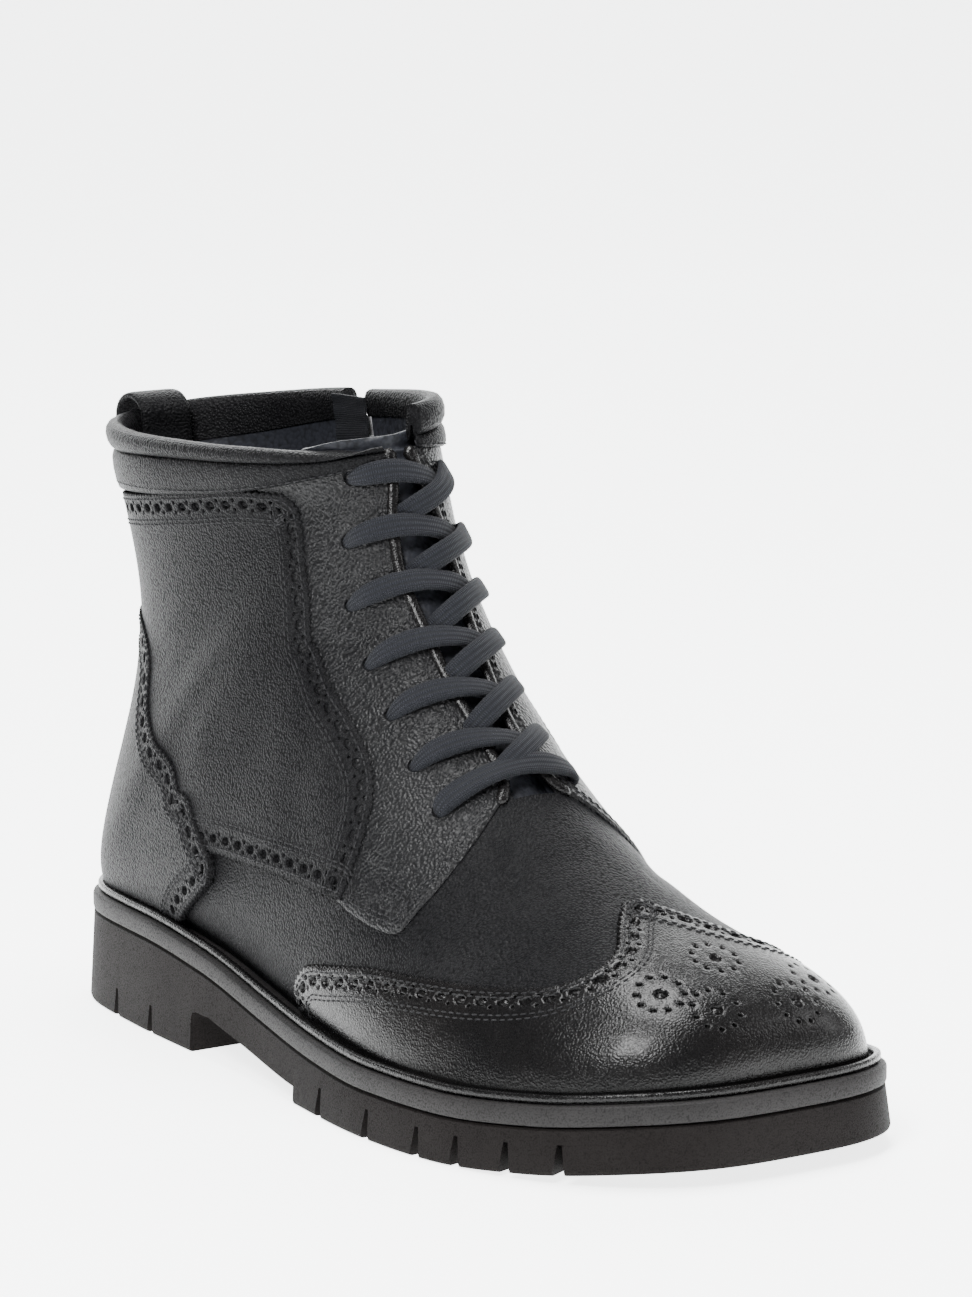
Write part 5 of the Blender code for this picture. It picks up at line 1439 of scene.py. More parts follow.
    def collar_band(self, name: str, span: tuple, edges: tuple,
                    profile: tuple) -> bpy.types.Object:
        """A padded band round the shaft between two edges, with rounded ends.

        Args:
            name: the piece's name.
            span: first and last signed column.
            edges: low, low inner, high and high inner edges.
            profile: (share of the band, height in millimetres) round its section.

        Returns:
            The new object.
        """
        count = int(abs(span[1] - span[0]) * 260) + 2
        columns = np.linspace(span[0], span[1], count)
        gap = 0.0016 * np.sign(span[1] - span[0])
        columns = np.concatenate([[span[0]], [span[0] + gap], columns[1:-1], [span[1] - gap], [span[1]]])
        low = edge_at(edges[0], edges[1], columns)
        high = edge_at(edges[2], edges[3], columns)
        table = np.array(profile)
        middle = np.array([0.45, table[:, 1].mean()])
        rings = []
        for k, v in enumerate(columns):
            size = 0.55 if k in (0, len(columns) - 1) else 1.0
            shape = middle + (table - middle) * size
            ripple = 0.05 * math.sin(v * 41.0) + 0.02 * math.sin(v * 97.0 + 1.0)
            line = np.stack([low[k] + (high[k] - low[k]) * shape[:, 0], np.full(len(shape), v)], 1)
            tall = (shape[:, 1] + ripple * (shape[:, 1] > 1.5)) * MM
            rings.append(LAST.place(line, tall))
        return add_piece(name, *loft(np.array(rings), closed_ring=True, caps=True),
                         self.looks["black_leather"], 60.0)

    def collar(self) -> list:
        """The cuff and the padded roll, each in two pieces parted at the zip.

        Returns:
            The four objects.
        """
        back, front = -(1 - ZIP_COLUMN - ZIP_HALF), -(1 - ZIP_COLUMN + ZIP_HALF)
        roll = ((-0.02, 0.3), (0.02, 1.3), (0.14, 2.3), (0.34, 3.0), (0.60, 3.15), (0.82, 2.7), (0.97, 1.7),
                (1.03, 0.4), (1.02, -1.0), (0.92, -2.2), (0.65, -3.0), (0.25, -3.1), (-0.3, -2.7),
                (-0.3, -1.9), (0.4, -1.4), (0.4, 0.0))
        cuff = ((-0.03, 0.4), (-0.02, 1.7), (0.05, 2.45), (0.25, 2.9), (0.55, 2.95), (0.82, 2.6), (0.96, 1.9),
                (1.02, 1.0), (1.02, 0.2), (0.5, 0.1))
        roll_edges = (ROLL_LOW, ROLL_LOW_INNER, COLLAR, COLLAR_INNER)
        cuff_edges = (CUFF_LOW, CUFF_LOW_INNER, ROLL_LOW, ROLL_LOW_INNER)
        made = []
        for name, edges, profile in (("collar_roll", roll_edges, roll), ("cuff", cuff_edges, cuff)):
            made.append(self.collar_band(f"{name}_leather", (back, 0.484), edges, profile))
            made.append(self.collar_band(f"{name}_front_leather", (front, -0.480), edges, profile))
        for start, end in ((back + 0.004, 0.478), (front - 0.004, -0.476)):
            columns = np.linspace(start, end, 90)
            rows = edge_at(CUFF_LOW, CUFF_LOW_INNER, columns) + 0.10
            self.thread.sew(np.stack([rows, columns], 1), self.level_high)
        return made

    def tongue(self) -> bpy.types.Object:
        """The soft tongue behind the laces, crowned along its middle.

        Returns:
            The new object.
        """
        rows = np.linspace(6.9, 20.15, 110)
        across = np.linspace(-1, 1, 41)
        rings = []
        for u in rows:
            half = np.interp(u, (6.9, 8.5, 11, 14, 20.2), (0.05, 0.075, 0.095, 0.10, 0.092))
            top = np.clip((20.15 - u) / 0.5, 0, 1) ** 0.5
            v = 0.5 + across * half * (0.55 + 0.45 * top)
            crown = -0.0034 + 0.0016 * np.exp(-(across * half / 0.024) ** 2)
            wrinkle = 0.00022 * math.sin(u * 5.1) * np.exp(-(across / 0.5) ** 2)
            line = np.stack([np.full(len(v), u), v], 1)
            front = LAST.place(line, crown + wrinkle)
            rear = LAST.place(line[::-1], (crown + wrinkle)[::-1] - 0.0016 * (0.4 + 0.6 * top))
            rings.append(np.vstack([front, rear]))
        shape = loft(np.array(rings), closed_ring=True, caps=True)
        return add_piece("tongue_leather", *shape, self.looks["lining_leather"], 70.0)

    def pull_loop(self) -> bpy.types.Object:
        """The folded strap at the back of the collar.

        Returns:
            The new object.
        """
        low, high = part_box("pull_loop")
        half = (high.x - low.x) / 2 * 0.86
        spot = low.x + half
        outer = (high.y - low.y) / 2
        middle = (high.y + low.y) / 2 + 0.0006
        crest = high.z - outer * 0.86 - 0.0035
        path = [(middle + outer * 0.93, low.z + 0.0005)]
        path += [(middle + outer * 0.90 * math.cos(a), crest + outer * 0.78 * math.sin(a))
                 for a in np.linspace(0, math.pi, 19)]
        path += [(middle - outer * 0.93, crest - 0.004), (middle - outer * 1.05, low.z + 0.0005)]
        path = np.array(path)
        dense = np.linspace(0, len(path) - 1, 70)
        path = np.stack([np.interp(dense, np.arange(len(path)), path[:, k]) for k in (0, 1)], 1)
        run = np.gradient(path, axis=0)
        run /= np.linalg.norm(run, axis=1)[:, None]
        out = np.stack([run[:, 1], -run[:, 0]], 1)
        section = [(math.cos(a), math.sin(a)) for a in np.linspace(0, 2 * math.pi, 28, endpoint=False)]
        rings = []
        for p, n in zip(path, out):
            ring = []
            for c, s in section:
                wide = math.copysign(abs(c) ** 0.28, c) * half
                thick = math.copysign(abs(s) ** 0.6, s) * 0.0011
                ring.append((spot + wide, p[0] + n[0] * thick, p[1] + n[1] * thick))
            rings.append(ring)
        return add_piece("pull_loop_leather", *loft(np.array(rings), closed_ring=True, caps=True),
                         self.looks["black_leather"], 60.0)


@dataclass
class Laces:
    """Flat waxed laces that run over the facings into their holes."""

    look: bpy.types.Material
    width: float = 0.0068
    thickness: float = 0.0022

    def ribbon(self, name: str, path: list) -> bpy.types.Object:
        """A flat lace through a path of (u, v, height, width share).

        Args:
            name: the piece's name.
            path: its points.

        Returns:
            The new object.
        """
        table = np.array(path, float)
        at = np.linspace(0, len(table) - 1, 12 * (len(table) - 1) + 1)
        dense = natural_spline(table, at)
        line = dense[:, :2]
        points = LAST.place(line, dense[:, 2])
        run = np.gradient(points, axis=0)
        run /= np.linalg.norm(run, axis=1)[:, None]
        side = np.cross(LAST.normal(line), run)
        side /= np.linalg.norm(side, axis=1)[:, None]
        up = np.cross(run, side)
        turn = np.linspace(0, 2 * math.pi, 20, endpoint=False)
        length = np.concatenate([[0], np.cumsum(np.linalg.norm(np.diff(points, axis=0), axis=1))])
        rings = []
        for k in range(len(points)):
            wide = self.width / 2 * dense[k, 3]
            tall = self.thickness / 2 * (1.0 + 0.5 * (1 - dense[k, 3]))
            lean = 0.16 * math.sin(length[k] * 190.0 + len(name))
            ring = []
            for a in turn:
                c = math.copysign(abs(math.cos(a)) ** 0.55, math.cos(a)) * wide
                s = math.copysign(abs(math.sin(a)) ** 0.75, math.sin(a)) * tall
                rib = 1 + 0.02 * math.sin(length[k] * 5200.0)
                ring.append(points[k] + side[k] * c * rib + up[k] * (s + c * lean))
            rings.append(ring)
        made = add_piece(name, *loft(np.array(rings), closed_ring=True, caps=True), self.look, 60.0)
        layer = made.data.uv_layers.new(name="weave")
        wide = len(turn)
        for loop in made.data.loops:
            k, j = divmod(min(loop.vertex_index, len(points) * wide - 1), wide)
            layer.data[loop.index].uv = (j / wide, length[k] * 400)
        return made

    def build(self) -> list:
        """The bar at the throat's foot and six crossings.

        Returns:
            The objects.
        """
        top = 0.0011
        lift = top + self.thickness * 0.55
        u, a, b = LACE_ROWS[0], OUTER_HOLES[0], INNER_HOLES[0]
        made = [self.ribbon("lace_bar_cord", [
            (u, a - 0.002, -0.0012, 0.55), (u, a + 0.006, lift, 0.85),
            (u + 0.03, a + 0.035, lift + 0.0008, 1.0), (u + 0.05, 0.465, lift + 0.0012, 1.0),
            (u + 0.05, 0.51, lift + 0.0014, 1.0), (u + 0.03, b - 0.025, lift + 0.0010, 1.0),
            (u, b - 0.005, lift, 0.85), (u, b + 0.002, -0.0012, 0.55)])]
        for k in range(1, len(LACE_ROWS)):
            here, drop = LACE_ROWS[k], LACE_ROWS[k] - LACE_ROWS[k - 1]
            wide = INNER_HOLES[k] - OUTER_HOLES[k]
            outer = ((0.0, -0.03, -0.0012, 0.50), (0.05, 0.10, lift, 0.85), (0.14, 0.30, lift + 0.0006, 1.0),
                     (0.26, 0.50, lift + 0.0004, 1.0), (0.38, 0.70, lift - 0.0008, 1.0),
                     (0.50, 0.88, -0.0010, 0.9), (0.60, 1.0, -0.0024, 0.8))
            inner = ((0.0, -0.03, -0.0012, 0.50), (0.10, 0.06, lift, 0.85), (0.36, 0.20, lift + 0.0016, 1.0),
                     (0.62, 0.34, lift + 0.0020, 1.0), (0.85, 0.50, lift + 0.0010, 1.0),
                     (1.0, 0.66, -0.0004, 0.9), (1.12, 0.85, -0.0024, 0.8))
            for side, start, sign, steps in (("outer", OUTER_HOLES[k], 1, outer),
                                             ("inner", INNER_HOLES[k], -1, inner)):
                made.append(self.ribbon(f"lace_{side}_{k}", [
                    (here - drop * down, start + sign * wide * across, height, share)
                    for down, across, height, share in steps]))
        return made


class Rim:
    """The upper's edge in plan, where the last meets the ledge, and lines set off from it."""

    SIDES = 120

    def __init__(self) -> None:
        """Find the line at the upper's foot and the widest line just above it."""
        self.above = LAST.grid[..., 2] - ledge_top(SOLE_LENGTH / 2 - LAST.grid[..., 1])
        self.foot = self.even(self.trace(0.0003))
        brim = self.even(self.trace(0.0003 + WELT_HEIGHT))
        bulge = ((brim - self.foot) * self.outward(self.foot)).sum(1)
        self.brim = self.foot + self.outward(self.foot) * np.maximum(bulge, 0)[:, None]

    @staticmethod
    def crossing(line: Array) -> float:
        """The index, with its fraction, at which a line of heights first comes up through 0.

        Args:
            line: heights, one after another.

        Returns:
            The index.
        """
        if line[0] >= 0:
            return 0.0
        i = int(np.nonzero((line[:-1] < 0) & (line[1:] >= 0))[0][0])
        return i + float(line[i] / (line[i] - line[i + 1]))

    def trace(self, height: float) -> Array:
        """Where the last passes a height over the ledge, in plan, round from the heel.

        Args:
            height: metres over the ledge.

        Returns:
            Places as (x, y).
        """
        above = self.above - height
        steps, wide = Last.ROW_STEPS, Last.COLUMN_STEPS
        sides = []
        for order in (1, -1):
            side = []
            for i in range(TOE_ROW * steps, SEAM_ROW * steps):
                v = self.crossing(above[i][::order][:wide // 2 + 1]) / wide
                side.append((i / steps, v if order > 0 else 1 - v))
            edge = side[-1][1]
            seam = 0.0 if order > 0 else 1.0
            for k in range(1, 25):
                v = edge + (seam - edge) * k / 24
                rise = self.crossing(above[steps * SEAM_ROW:, int(round(v * wide))])
                side.append((SEAM_ROW + rise / steps, v))
            sides.append(side)
        outer, inner = sides
        toe = [(self.crossing(above[:steps * TOE_ROW + 17, int(round(v * wide))]) / steps, float(v))
               for v in np.linspace(0, 1, 241) if outer[0][1] + 0.004 < v < inner[0][1] - 0.004]
        line = np.array(outer[::-1] + toe + inner)
        return LAST.read(LAST.grid, line[:, 0], line[:, 1])[:, :2]

    @staticmethod
    def even(loop: Array) -> Array:
        """The closed loop with evenly spaced points, softened a little.

        Args:
            loop: places as (x, y).

        Returns:
            The new loop.
        """
        closed = np.vstack([loop, loop[:1]])
        length = np.concatenate([[0], np.cumsum(np.hypot(*np.diff(closed, axis=0).T))])
        keep = np.concatenate([[True], np.diff(length) > 1e-7])
        wanted = np.linspace(0, length[-1], 361)[:-1]
        out = np.stack([np.interp(wanted, length[keep], closed[keep, k]) for k in (0, 1)], 1)
        for _ in range(10):
            out = (np.roll(out, 1, 0) + 2 * out + np.roll(out, -1, 0)) / 4
        return out

    @staticmethod
    def outward(loop: Array) -> Array:
        """Unit vectors square to a closed loop, pointing out of it.

        Args:
            loop: places as (x, y).

        Returns:
            One vector for each place.
        """
        ahead = np.roll(loop, -1, 0) - np.roll(loop, 1, 0)
        out = np.stack([-ahead[:, 1], ahead[:, 0]], 1)
        out /= np.linalg.norm(out, axis=1)[:, None]
        return out if ((loop - loop.mean(0)) * out).sum() > 0 else -out

    def ring(self, reach: float) -> Array:
        """The edge set off by a reach, evenly from the heel round the outer side to the toe and back.

        Args:
            reach: metres outward from the brim, or below 0 inward from the foot.

        Returns:
            Places as (x, y), twice SIDES of them.
        """
        loop = self.brim if reach > 0 else self.foot
        moved = loop + self.outward(loop) * reach
        moved = np.roll(moved, -int(moved[:, 1].argmax()), 0)
        if moved[5, 0] > 0:
            moved = np.roll(moved[::-1], 1, 0)
        toe = int(moved[:, 1].argmin())
        step = np.linspace(0, 1, self.SIDES + 1)
        share = (step + (1 - np.cos(math.pi * step)) / 2) / 2
        chains = []
        for side in (moved[:toe + 1], np.vstack([moved[toe:], moved[:1]])[::-1]):
            length = np.concatenate([[0], np.cumsum(np.hypot(*np.diff(side, axis=0).T))])
            chains.append(np.stack([np.interp(share * length[-1], length, side[:, k]) for k in (0, 1)], 1))
        return np.concatenate([chains[0], chains[1][-2:0:-1]])


@dataclass
class Sole:
    """The lugged unit, the ledge, the welt and the insole."""

    looks: dict
    rim: Rim
    edge: float = 0.0007
    groove_width: float = 0.0032
    groove_depth: float = 0.0026

    def level(self, reach: float, height: float, tread: bool = False) -> Array:
        """One ring of points at a height over the ground's line or under the ledge's top.

        Args:
            reach: metres out from the upper's edge.
            height: metres over the line.
            tread: whether the line is the ground's.

        Returns:
            The points.
        """
        line = self.rim.ring(reach)
        place = SOLE_LENGTH / 2 - line[:, 1]
        z = (ground(place) if tread else ledge_top(place)) + height
        return np.column_stack([line, z])

    def stack(self, name: str, rings: list, look: str, ring: bool = False) -> bpy.types.Object:
        """Join rings into a closed piece, capped flat across or closed as a band.

        Args:
            name: the piece's name.
            rings: rings of points from the lowest up.
            look: the material's name.
            ring: whether the piece is a band.

        Returns:
            The new object.
        """
        points, faces = loft(np.array(rings), closed_ring=True, closed_run=ring)
        count = 2 * Rim.SIDES
        if not ring:
            for base in (0, (len(rings) - 1) * count):
                for i in range(Rim.SIDES):
                    corners = (i, i + 1, (count - i - 1) % count, (count - i) % count)
                    faces.append(tuple(dict.fromkeys(base + k for k in corners)))
        return add_piece(name, points, faces, self.looks[look], 35.0)

    def wedge(self, points: list, faces: list, corners: list) -> None:
        """Add one six-sided cutter to a mesh in the making.

        Args:
            points: corners so far.
            faces: faces so far.
            corners: the eight new corners.
        """
        base = len(points)
        points += corners
        sides = ((0, 1, 3, 2), (4, 6, 7, 5), (0, 4, 5, 1), (2, 3, 7, 6), (0, 2, 6, 4), (1, 5, 7, 3))
        faces += [tuple(base + k for k in side) for side in sides]

    def notches(self) -> tuple:
        """Corners and faces of all the wedges cut from the sole's sides.

        Returns:
            Points and faces.
        """
        points, faces = [], []
        ring = self.rim.ring(LEDGE_REACH + SOLE_FLARE)
        for sign in (-1, 1):
            side = ring[:Rim.SIDES + 1] if sign < 0 else np.vstack([ring[Rim.SIDES:], ring[:1]])[::-1]
            for share in HEEL_NOTCHES + FOREFOOT_NOTCHES:
                place = share * SOLE_LENGTH
                y = SOLE_LENGTH / 2 - place
                near = min(max(int(np.abs(side[:, 1] - y).argmin()), 1), len(side) - 2)
                along = Vector((*(side[near + 1] - side[near - 1]), 0)).normalized()
                inward = Vector((-sign, 0, 0))
                inward = (inward - along * inward.dot(along)).normalized()
                edge = Vector((float(np.interp(-y, -side[:, 1], side[:, 0])), y, 0))
                low = float(ground(np.array([place]))[0])
                corners = []
                for depth in (-0.006, NOTCH_REACH):
                    for z, half in ((low - 0.004, NOTCH_FOOT * 0.72), (low + NOTCH_HEIGHT, NOTCH_TOP / 2)):
                        for move in (-half, half):
                            corners.append(edge + inward * depth + along * move + Vector((0, 0, z)))
                self.wedge(points, faces, corners)
        return points, faces

    def tread(self) -> tuple:
        """Shallow grooves across the forefoot and heel, cut up from the ground.

        Returns:
            Points and faces.
        """
        points, faces = [], []
        for share in (0.05, 0.094, 0.175, 0.632, 0.722, 0.812):
            place = share * SOLE_LENGTH
            y = SOLE_LENGTH / 2 - place
            low = float(ground(np.array([place]))[0])
            corners = [Vector((x, y + move, z)) for x in (-0.030 - HEEL_OFFSET, 0.030 - HEEL_OFFSET)
                       for z in (low - 0.01, low + self.groove_depth)
                       for move in (-self.groove_width / 2, self.groove_width / 2)]
            self.wedge(points, faces, corners)
        return points, faces

    def cut(self, item: bpy.types.Object, name: str, shape: tuple) -> None:
        """Take a shape away from a piece.

        Args:
            item: the piece.
            name: the cut's name.
            shape: corners and faces of what is cut.
        """
        tool = add_piece(name, *shape, self.looks["sole_rubber"])
        item.modifiers.new(name, "BOOLEAN").object = tool
        item.modifiers[name].operation = "DIFFERENCE"
        item.modifiers[name].solver = "EXACT"
        bpy.context.view_layer.update()
        graph = bpy.context.evaluated_depsgraph_get()
        mesh = bpy.data.meshes.new_from_object(item.evaluated_get(graph))
        item.modifiers.clear()
        item.data = mesh
        bpy.data.objects.remove(tool)

    def arch(self) -> tuple:
        """The hollow between heel and forefoot, as a prism right across the sole.

        Returns:
            Points and faces.
        """
        half = SOLE_LENGTH / 2
        front = HEEL_LENGTH * 1.12
        heel = half - HEEL_LENGTH
        line = [(heel, -0.02), (heel, ARCH_CLEARANCE - 0.002), (heel - 0.0006, ARCH_CLEARANCE - 0.0006),
                (heel - 0.002, ARCH_CLEARANCE), (half - front, ARCH_CLEARANCE)]
        rise = ARCH_CLEARANCE - TREAD_DEPTH
        for share in np.linspace(0.08, 1.0, 12):
            line.append((half - front - (TREAD_START - front) * share,
                         TREAD_DEPTH + rise * (1 - share) ** 1.3))
        line.append((half - TREAD_START - NOTCH_FOOT, -0.02))
        points = [(x, y, z) for x in (-BALL_WIDTH, BALL_WIDTH) for y, z in line]
        count = len(line)
        faces = [tuple(range(count)), tuple(range(count, 2 * count))]
        faces += [(k, (k + 1) % count, count + (k + 1) % count, count + k) for k in range(count)]
        return points, faces

    def build(self) -> list:
        """Make the four pieces.

        Returns:
            (object, slot, node) for each.
        """
        wide, edge = LEDGE_REACH + SOLE_FLARE, self.edge
        under = -LEDGE_THICKNESS - 0.0003
        unit = self.stack("lug_unit", [
            self.level(wide - edge * 1.6, 0.0, True), self.level(wide - edge * 0.4, edge * 0.4, True),
            self.level(wide, edge * 1.6, True), self.level(LEDGE_REACH - 0.0003, under - 0.0006),
            self.level(LEDGE_REACH - 0.0011, under)], "sole_rubber")
        self.cut(unit, "arch_hollow", self.arch())
        self.cut(unit, "side_notches", self.notches())
        self.cut(unit, "tread_grooves", self.tread())
        self.soften(unit)
        bevel = LEDGE_BEVEL
        edge = ((LEDGE_REACH - 0.0010, -LEDGE_THICKNESS), (LEDGE_REACH - 0.0002, 0.0003 - LEDGE_THICKNESS),
                (LEDGE_REACH, 0.0011 - LEDGE_THICKNESS), (LEDGE_REACH, -bevel * 1.15),
                (LEDGE_REACH - bevel * 0.22, -bevel * 0.55), (LEDGE_REACH - bevel * 0.9, -bevel * 0.08),
                (LEDGE_REACH - bevel * 1.5, 0.0))
        ledge = self.stack("ledge_band", [self.level(*at) for at in edge], "ledge_rubber")
        cord = []
        for a in np.linspace(0, 2 * math.pi, 14, endpoint=False):
            across = math.copysign(abs(math.cos(a)) ** 0.7, math.cos(a)) * WELT_WIDTH / 2
            tall = math.copysign(abs(math.sin(a)) ** 0.8, math.sin(a)) * WELT_HEIGHT / 2
            cord.append(self.level(WELT_GROOVE + WELT_WIDTH / 2 - 0.0004 + across,
                                   0.0003 + WELT_HEIGHT / 2 + tall))
        welt = self.stack("welt_cord", cord, "glossy_leather", ring=True)
        inside_reach = -(WALL + 0.0018)
        insole = self.stack("insole_board", [
            self.level(inside_reach, 0.0004), self.level(inside_reach, 0.0004 + INSOLE_THICKNESS - 0.0006),
            self.level(inside_reach - 0.0008, 0.0004 + INSOLE_THICKNESS)], "lining_leather")
        return [(unit, "sole_rubber", "outsole"), (ledge, "ledge_rubber", "midsole"),
                (welt, "glossy_leather", "welt"), (insole, "lining_leather", "insole")]

    def soften(self, item: bpy.types.Object) -> None:
        """Mark sharp edges after the cuts and keep the rest smooth.

        Args:
            item: the piece.
        """
        work = bmesh.new()
        work.from_mesh(item.data)
        bmesh.ops.dissolve_degenerate(work, edges=work.edges, dist=0.000005)
        for face in work.faces:
            face.smooth = True
        for edge in work.edges:
            edge.smooth = len(edge.link_faces) == 2 and edge.calc_face_angle(0.0) < math.radians(32)
        work.to_mesh(item.data)
        work.free()


@dataclass
class Zip:
    """The side zip: tape, teeth, slider and a pull that swings on its pin."""

    looks: dict
    pin: Vector
    axis: Vector
    tooth_pitch: float = 0.0021

    def seat(self) -> Matrix:
        """Axes at the slider: X round the leg, Y outward, Z up the zip, with the origin at the pin.

        Returns:
            The seat's matrix.
        """
        side = self.axis.normalized()
        line = np.array([[SLIDER_ROW, ZIP_COLUMN]])
        out = Vector(LAST.normal(line)[0])
        higher = Vector(LAST.place(np.array([[SLIDER_ROW + 0.3, ZIP_COLUMN]]))[0])
        lower = Vector(LAST.place(np.array([[SLIDER_ROW - 0.3, ZIP_COLUMN]]))[0])
        up = (higher - lower).normalized()
        up = (up - side * up.dot(side)).normalized()
        outward = up.cross(side)
        if outward.dot(out) < 0:
            outward = -outward
        turned = Matrix((side, outward, up)).transposed().to_4x4()
        turned.translation = self.pin
        return turned

    def tape(self) -> bpy.types.Object:
        """The woven tape behind the teeth, a little wavy along its edges.

        Returns:
            The new object.
        """
        rows = np.linspace(ZIP_ROW - 0.3, ZIP_TOP, 120)
        columns = np.linspace(-1.45, 1.45, 15) * ZIP_HALF + ZIP_COLUMN
        depth = -(WALL + 0.0026)
        front, rear = [], []
        for u in rows:
            line = np.stack([np.full(len(columns), u), columns], 1)
            wave = 0.00012 * math.sin(u * 17.0) * np.abs(columns - ZIP_COLUMN) / ZIP_HALF
            front.append(LAST.place(line, depth + 0.0008 + wave))
            rear.append(LAST.place(line[::-1], depth + wave[::-1]))
        rings = np.concatenate([np.array(front), np.array(rear)], axis=1)
        made = add_piece("zip_tape_cloth", *loft(rings, closed_ring=True, caps=True),
                         self.looks["waxed_cotton"], 60.0)
        layer = made.data.uv_layers.new(name="weave")
        wide = rings.shape[1]
        for loop in made.data.loops:
            k, j = divmod(min(loop.vertex_index, len(rows) * wide - 1), wide)
            layer.data[loop.index].uv = (j / 4, k / 3)
        return made

    def teeth(self) -> bpy.types.Object:
        """Two interlocked rows of moulded teeth.

        Returns:
            The new object.
        """
        rows = np.linspace(ZIP_ROW + 0.05, ZIP_TOP - 0.1, 200)
        spots = LAST.even(np.stack([rows, np.full(len(rows), ZIP_COLUMN)], 1), self.tooth_pitch / 2)
        depth = -(WALL + 0.0018)
        centre = LAST.place(spots, depth)
        run = np.gradient(centre, axis=0)
        run /= np.linalg.norm(run, axis=1)[:, None]
        out = LAST.normal(spots)
        side = np.cross(out, run)
        points, faces = [], []
        for k, (p, r, n, s) in enumerate(zip(centre, run, out, side)):
            sign = 1 if k % 2 else -1
            rings = []
            for reach, wide, tall in ((-0.0007, 0.55, 0.6), (0.0002, 1.0, 1.0), (0.0014, 0.85, 0.95),
                                      (0.0021, 0.6, 0.6)):
                middle = p + s * sign * reach
                ring = []
                for a in np.linspace(0, 2 * math.pi, 8, endpoint=False):
                    c = math.copysign(abs(math.cos(a)) ** 0.5, math.cos(a)) * 0.00060 * wide
                    h = (0.5 + 0.5 * math.copysign(abs(math.sin(a)) ** 0.5, math.sin(a))) * 0.0014 * tall
                    ring.append(middle + r * c + n * h)
                rings.append(ring)
            made, sides = loft(np.array(rings), closed_ring=True, caps=True)
            base = len(points)
            points += [tuple(q) for q in made]
            faces += [tuple(base + q for q in face) for face in sides]
        return add_piece("zip_teeth", points, faces, self.looks["dark_steel"], 50.0)

    def shaped(self, name: str, parts: list, bevel: float) -> bpy.types.Object:
        """Blocks and rods in the seat's axes, bevelled and joined in one mesh.

        Args:
            name: the piece's name.
            parts: ("block", sizes, middle) or ("rod", (radius, length, sides), middle).
            bevel: radius of the rounded edges.

        Returns:
            The new object.
        """
        work = bmesh.new()
        for kind, sizes, middle in parts:
            if kind == "block":
                made = bmesh.ops.create_cube(work, size=1.0)["verts"]
                bmesh.ops.scale(work, vec=sizes, verts=made)
            else:
                radius, length, sides = sizes
                made = bmesh.ops.create_cone(work, cap_ends=True, segments=sides, radius1=radius,
                                             radius2=radius, depth=length)["verts"]
                bmesh.ops.rotate(work, verts=made, cent=(0, 0, 0),
                                 matrix=Matrix.Rotation(math.pi / 2, 3, "Y"))
            bmesh.ops.translate(work, verts=made, vec=middle)
        sharp = [edge for edge in work.edges
                 if len(edge.link_faces) == 2 and edge.calc_face_angle(0.0) > math.radians(50)]
        bmesh.ops.bevel(work, geom=sharp, offset=bevel, segments=3, affect="EDGES", profile=0.5)
        bmesh.ops.transform(work, matrix=self.seat(), verts=work.verts)
        points = [p.co.copy() for p in work.verts]
        work.verts.index_update()
        faces = [tuple(p.index for p in face.verts) for face in work.faces]
        work.free()
        return add_piece(name, points, faces, self.looks["dark_steel"], 40.0)

    def slider(self) -> bpy.types.Object:
        """The slider's body with the two ears that hold the pin.

        Returns:
            The new object.
        """
        drop = -(PULL_BARREL + 0.0003)
        gap = PULL_WIDTH / 2 + 0.0004 + EAR_THICKNESS / 2
        body = drop - SLIDER_BODY / 2
        ear = (EAR_THICKNESS, EAR_HEIGHT + 0.0006, EAR_LENGTH)
        parts = [("block", (SLIDER_WIDTH, SLIDER_BODY, SLIDER_LENGTH * 0.62), (0, body, 0.0016)),
                 ("block", (SLIDER_WIDTH * 0.72, SLIDER_BODY * 0.94, SLIDER_LENGTH), (0, body, 0))]
        for sign in (-1, 1):
            parts.append(("block", ear, (sign * gap, drop + EAR_HEIGHT / 2 - 0.0004, 0)))
        parts.append(("rod", (PIN_RADIUS, 2 * gap + EAR_THICKNESS * 0.9, 16), (0, 0, 0)))
        return self.shaped("zip_slider_metal", parts, 0.00022)

    def pull(self) -> bpy.types.Object:
        """The hanging tab: a barrel round the pin, a plate and a thicker grip at its end.

        Returns:
            The new object.
        """
        parts = [("rod", (PULL_BARREL, PULL_WIDTH, 24), (0, 0, 0)),
                 ("block", (PULL_WIDTH, PULL_THICKNESS, PULL_LENGTH - PULL_BORE),
                  (0, PULL_THICKNESS / 2 + 0.0001, -PULL_LENGTH / 2 - PULL_BORE)),
                 ("block", (PULL_WIDTH * 0.9, PULL_THICKNESS * 1.25, GRIP_LENGTH),
                  (0, PULL_THICKNESS / 2 + 0.0002, -PULL_LENGTH + GRIP_LENGTH / 2))]
        return self.shaped("zip_pull_tab", parts, 0.00028)


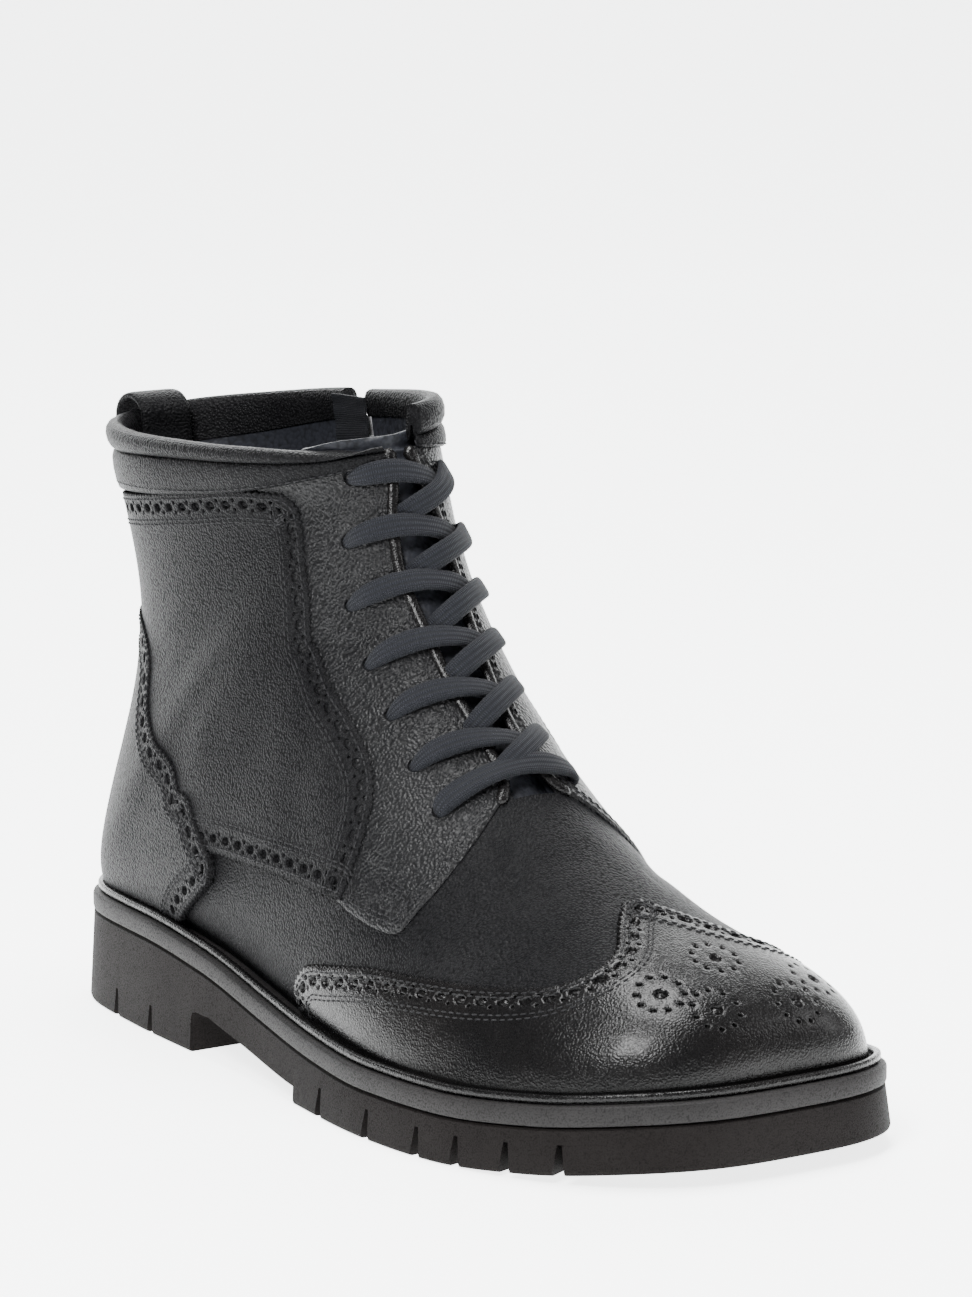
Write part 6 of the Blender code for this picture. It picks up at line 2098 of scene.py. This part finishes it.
def wear_boot(piece: bpy.types.Object, slot: str, *nodes: str) -> None:
    """Fix a piece to the boot and hide the solids it stands for.

    Args:
        piece: the piece.
        slot: the record's material slot; not used.
        nodes: the solids that it stands for.
    """
    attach(piece, "boot")
    if nodes:
        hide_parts(*nodes)
    log.info("%s: %d faces", piece.name, len(piece.data.polygons))


def main() -> None:
    """Build the studio and dress the boot."""
    logging.basicConfig(level=logging.INFO, format="%(message)s")
    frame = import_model()
    looks = {finish.name: finish.make() for finish in FINISHES}
    slots = {part["node"]: part["material_slot"] for part in frame["record"]["subparts"]}
    for name, node in frame["nodes"].items():
        node.data.materials.clear()
        node.data.materials.append(looks[slots[name]])
    studio = Studio()
    studio.camera()
    studio.build()
    thread = Stitching()
    leathers = Leathers(looks, thread)
    skin, lining = leathers.skin()
    wear_boot(skin, "black_leather", "upper")
    wear_boot(lining, "lining_leather")
    wear_boot(leathers.toe_cap(), "glossy_leather", "toe_cap")
    for side in Side:
        wear_boot(leathers.facing(side), "grained_leather", f"facing_{side.value}")
        wear_boot(leathers.quarter(side), "black_leather", f"rear_quarter_{side.value}")
        wear_boot(leathers.fold(side), "glossy_leather")
    leathers.tack()
    wear_boot(leathers.counter(), "black_leather", "counter")
    for piece in leathers.collar():
        wear_boot(piece, "black_leather", piece.name.replace("_leather", ""))
    wear_boot(leathers.tongue(), "lining_leather", "tongue")
    wear_boot(leathers.pull_loop(), "black_leather", "pull_loop")
    for piece in Laces(looks["waxed_cotton"]).build():
        node = "lace_bar" if "bar" in piece.name else f"lace_cross_{piece.name[-1]}"
        wear_boot(piece, "waxed_cotton", node)
    for piece, slot, node in Sole(looks, Rim()).build():
        wear_boot(piece, slot, node)
    hinge = frame["joints"][0]
    fastener = Zip(looks, Vector(hinge["pos_m"]), Vector(hinge["axis"]))
    wear_boot(fastener.tape(), "waxed_cotton", "zip_tape")
    wear_boot(fastener.teeth(), "dark_steel", "zip_tape")
    wear_boot(fastener.slider(), "dark_steel", "zip_slider")
    pull = fastener.pull()
    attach(pull, "zip_pull")
    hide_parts("zip_pull")
    wear_boot(thread.build(looks["stitch_thread"]), "black_leather")


if __name__ == "__main__":
    main()
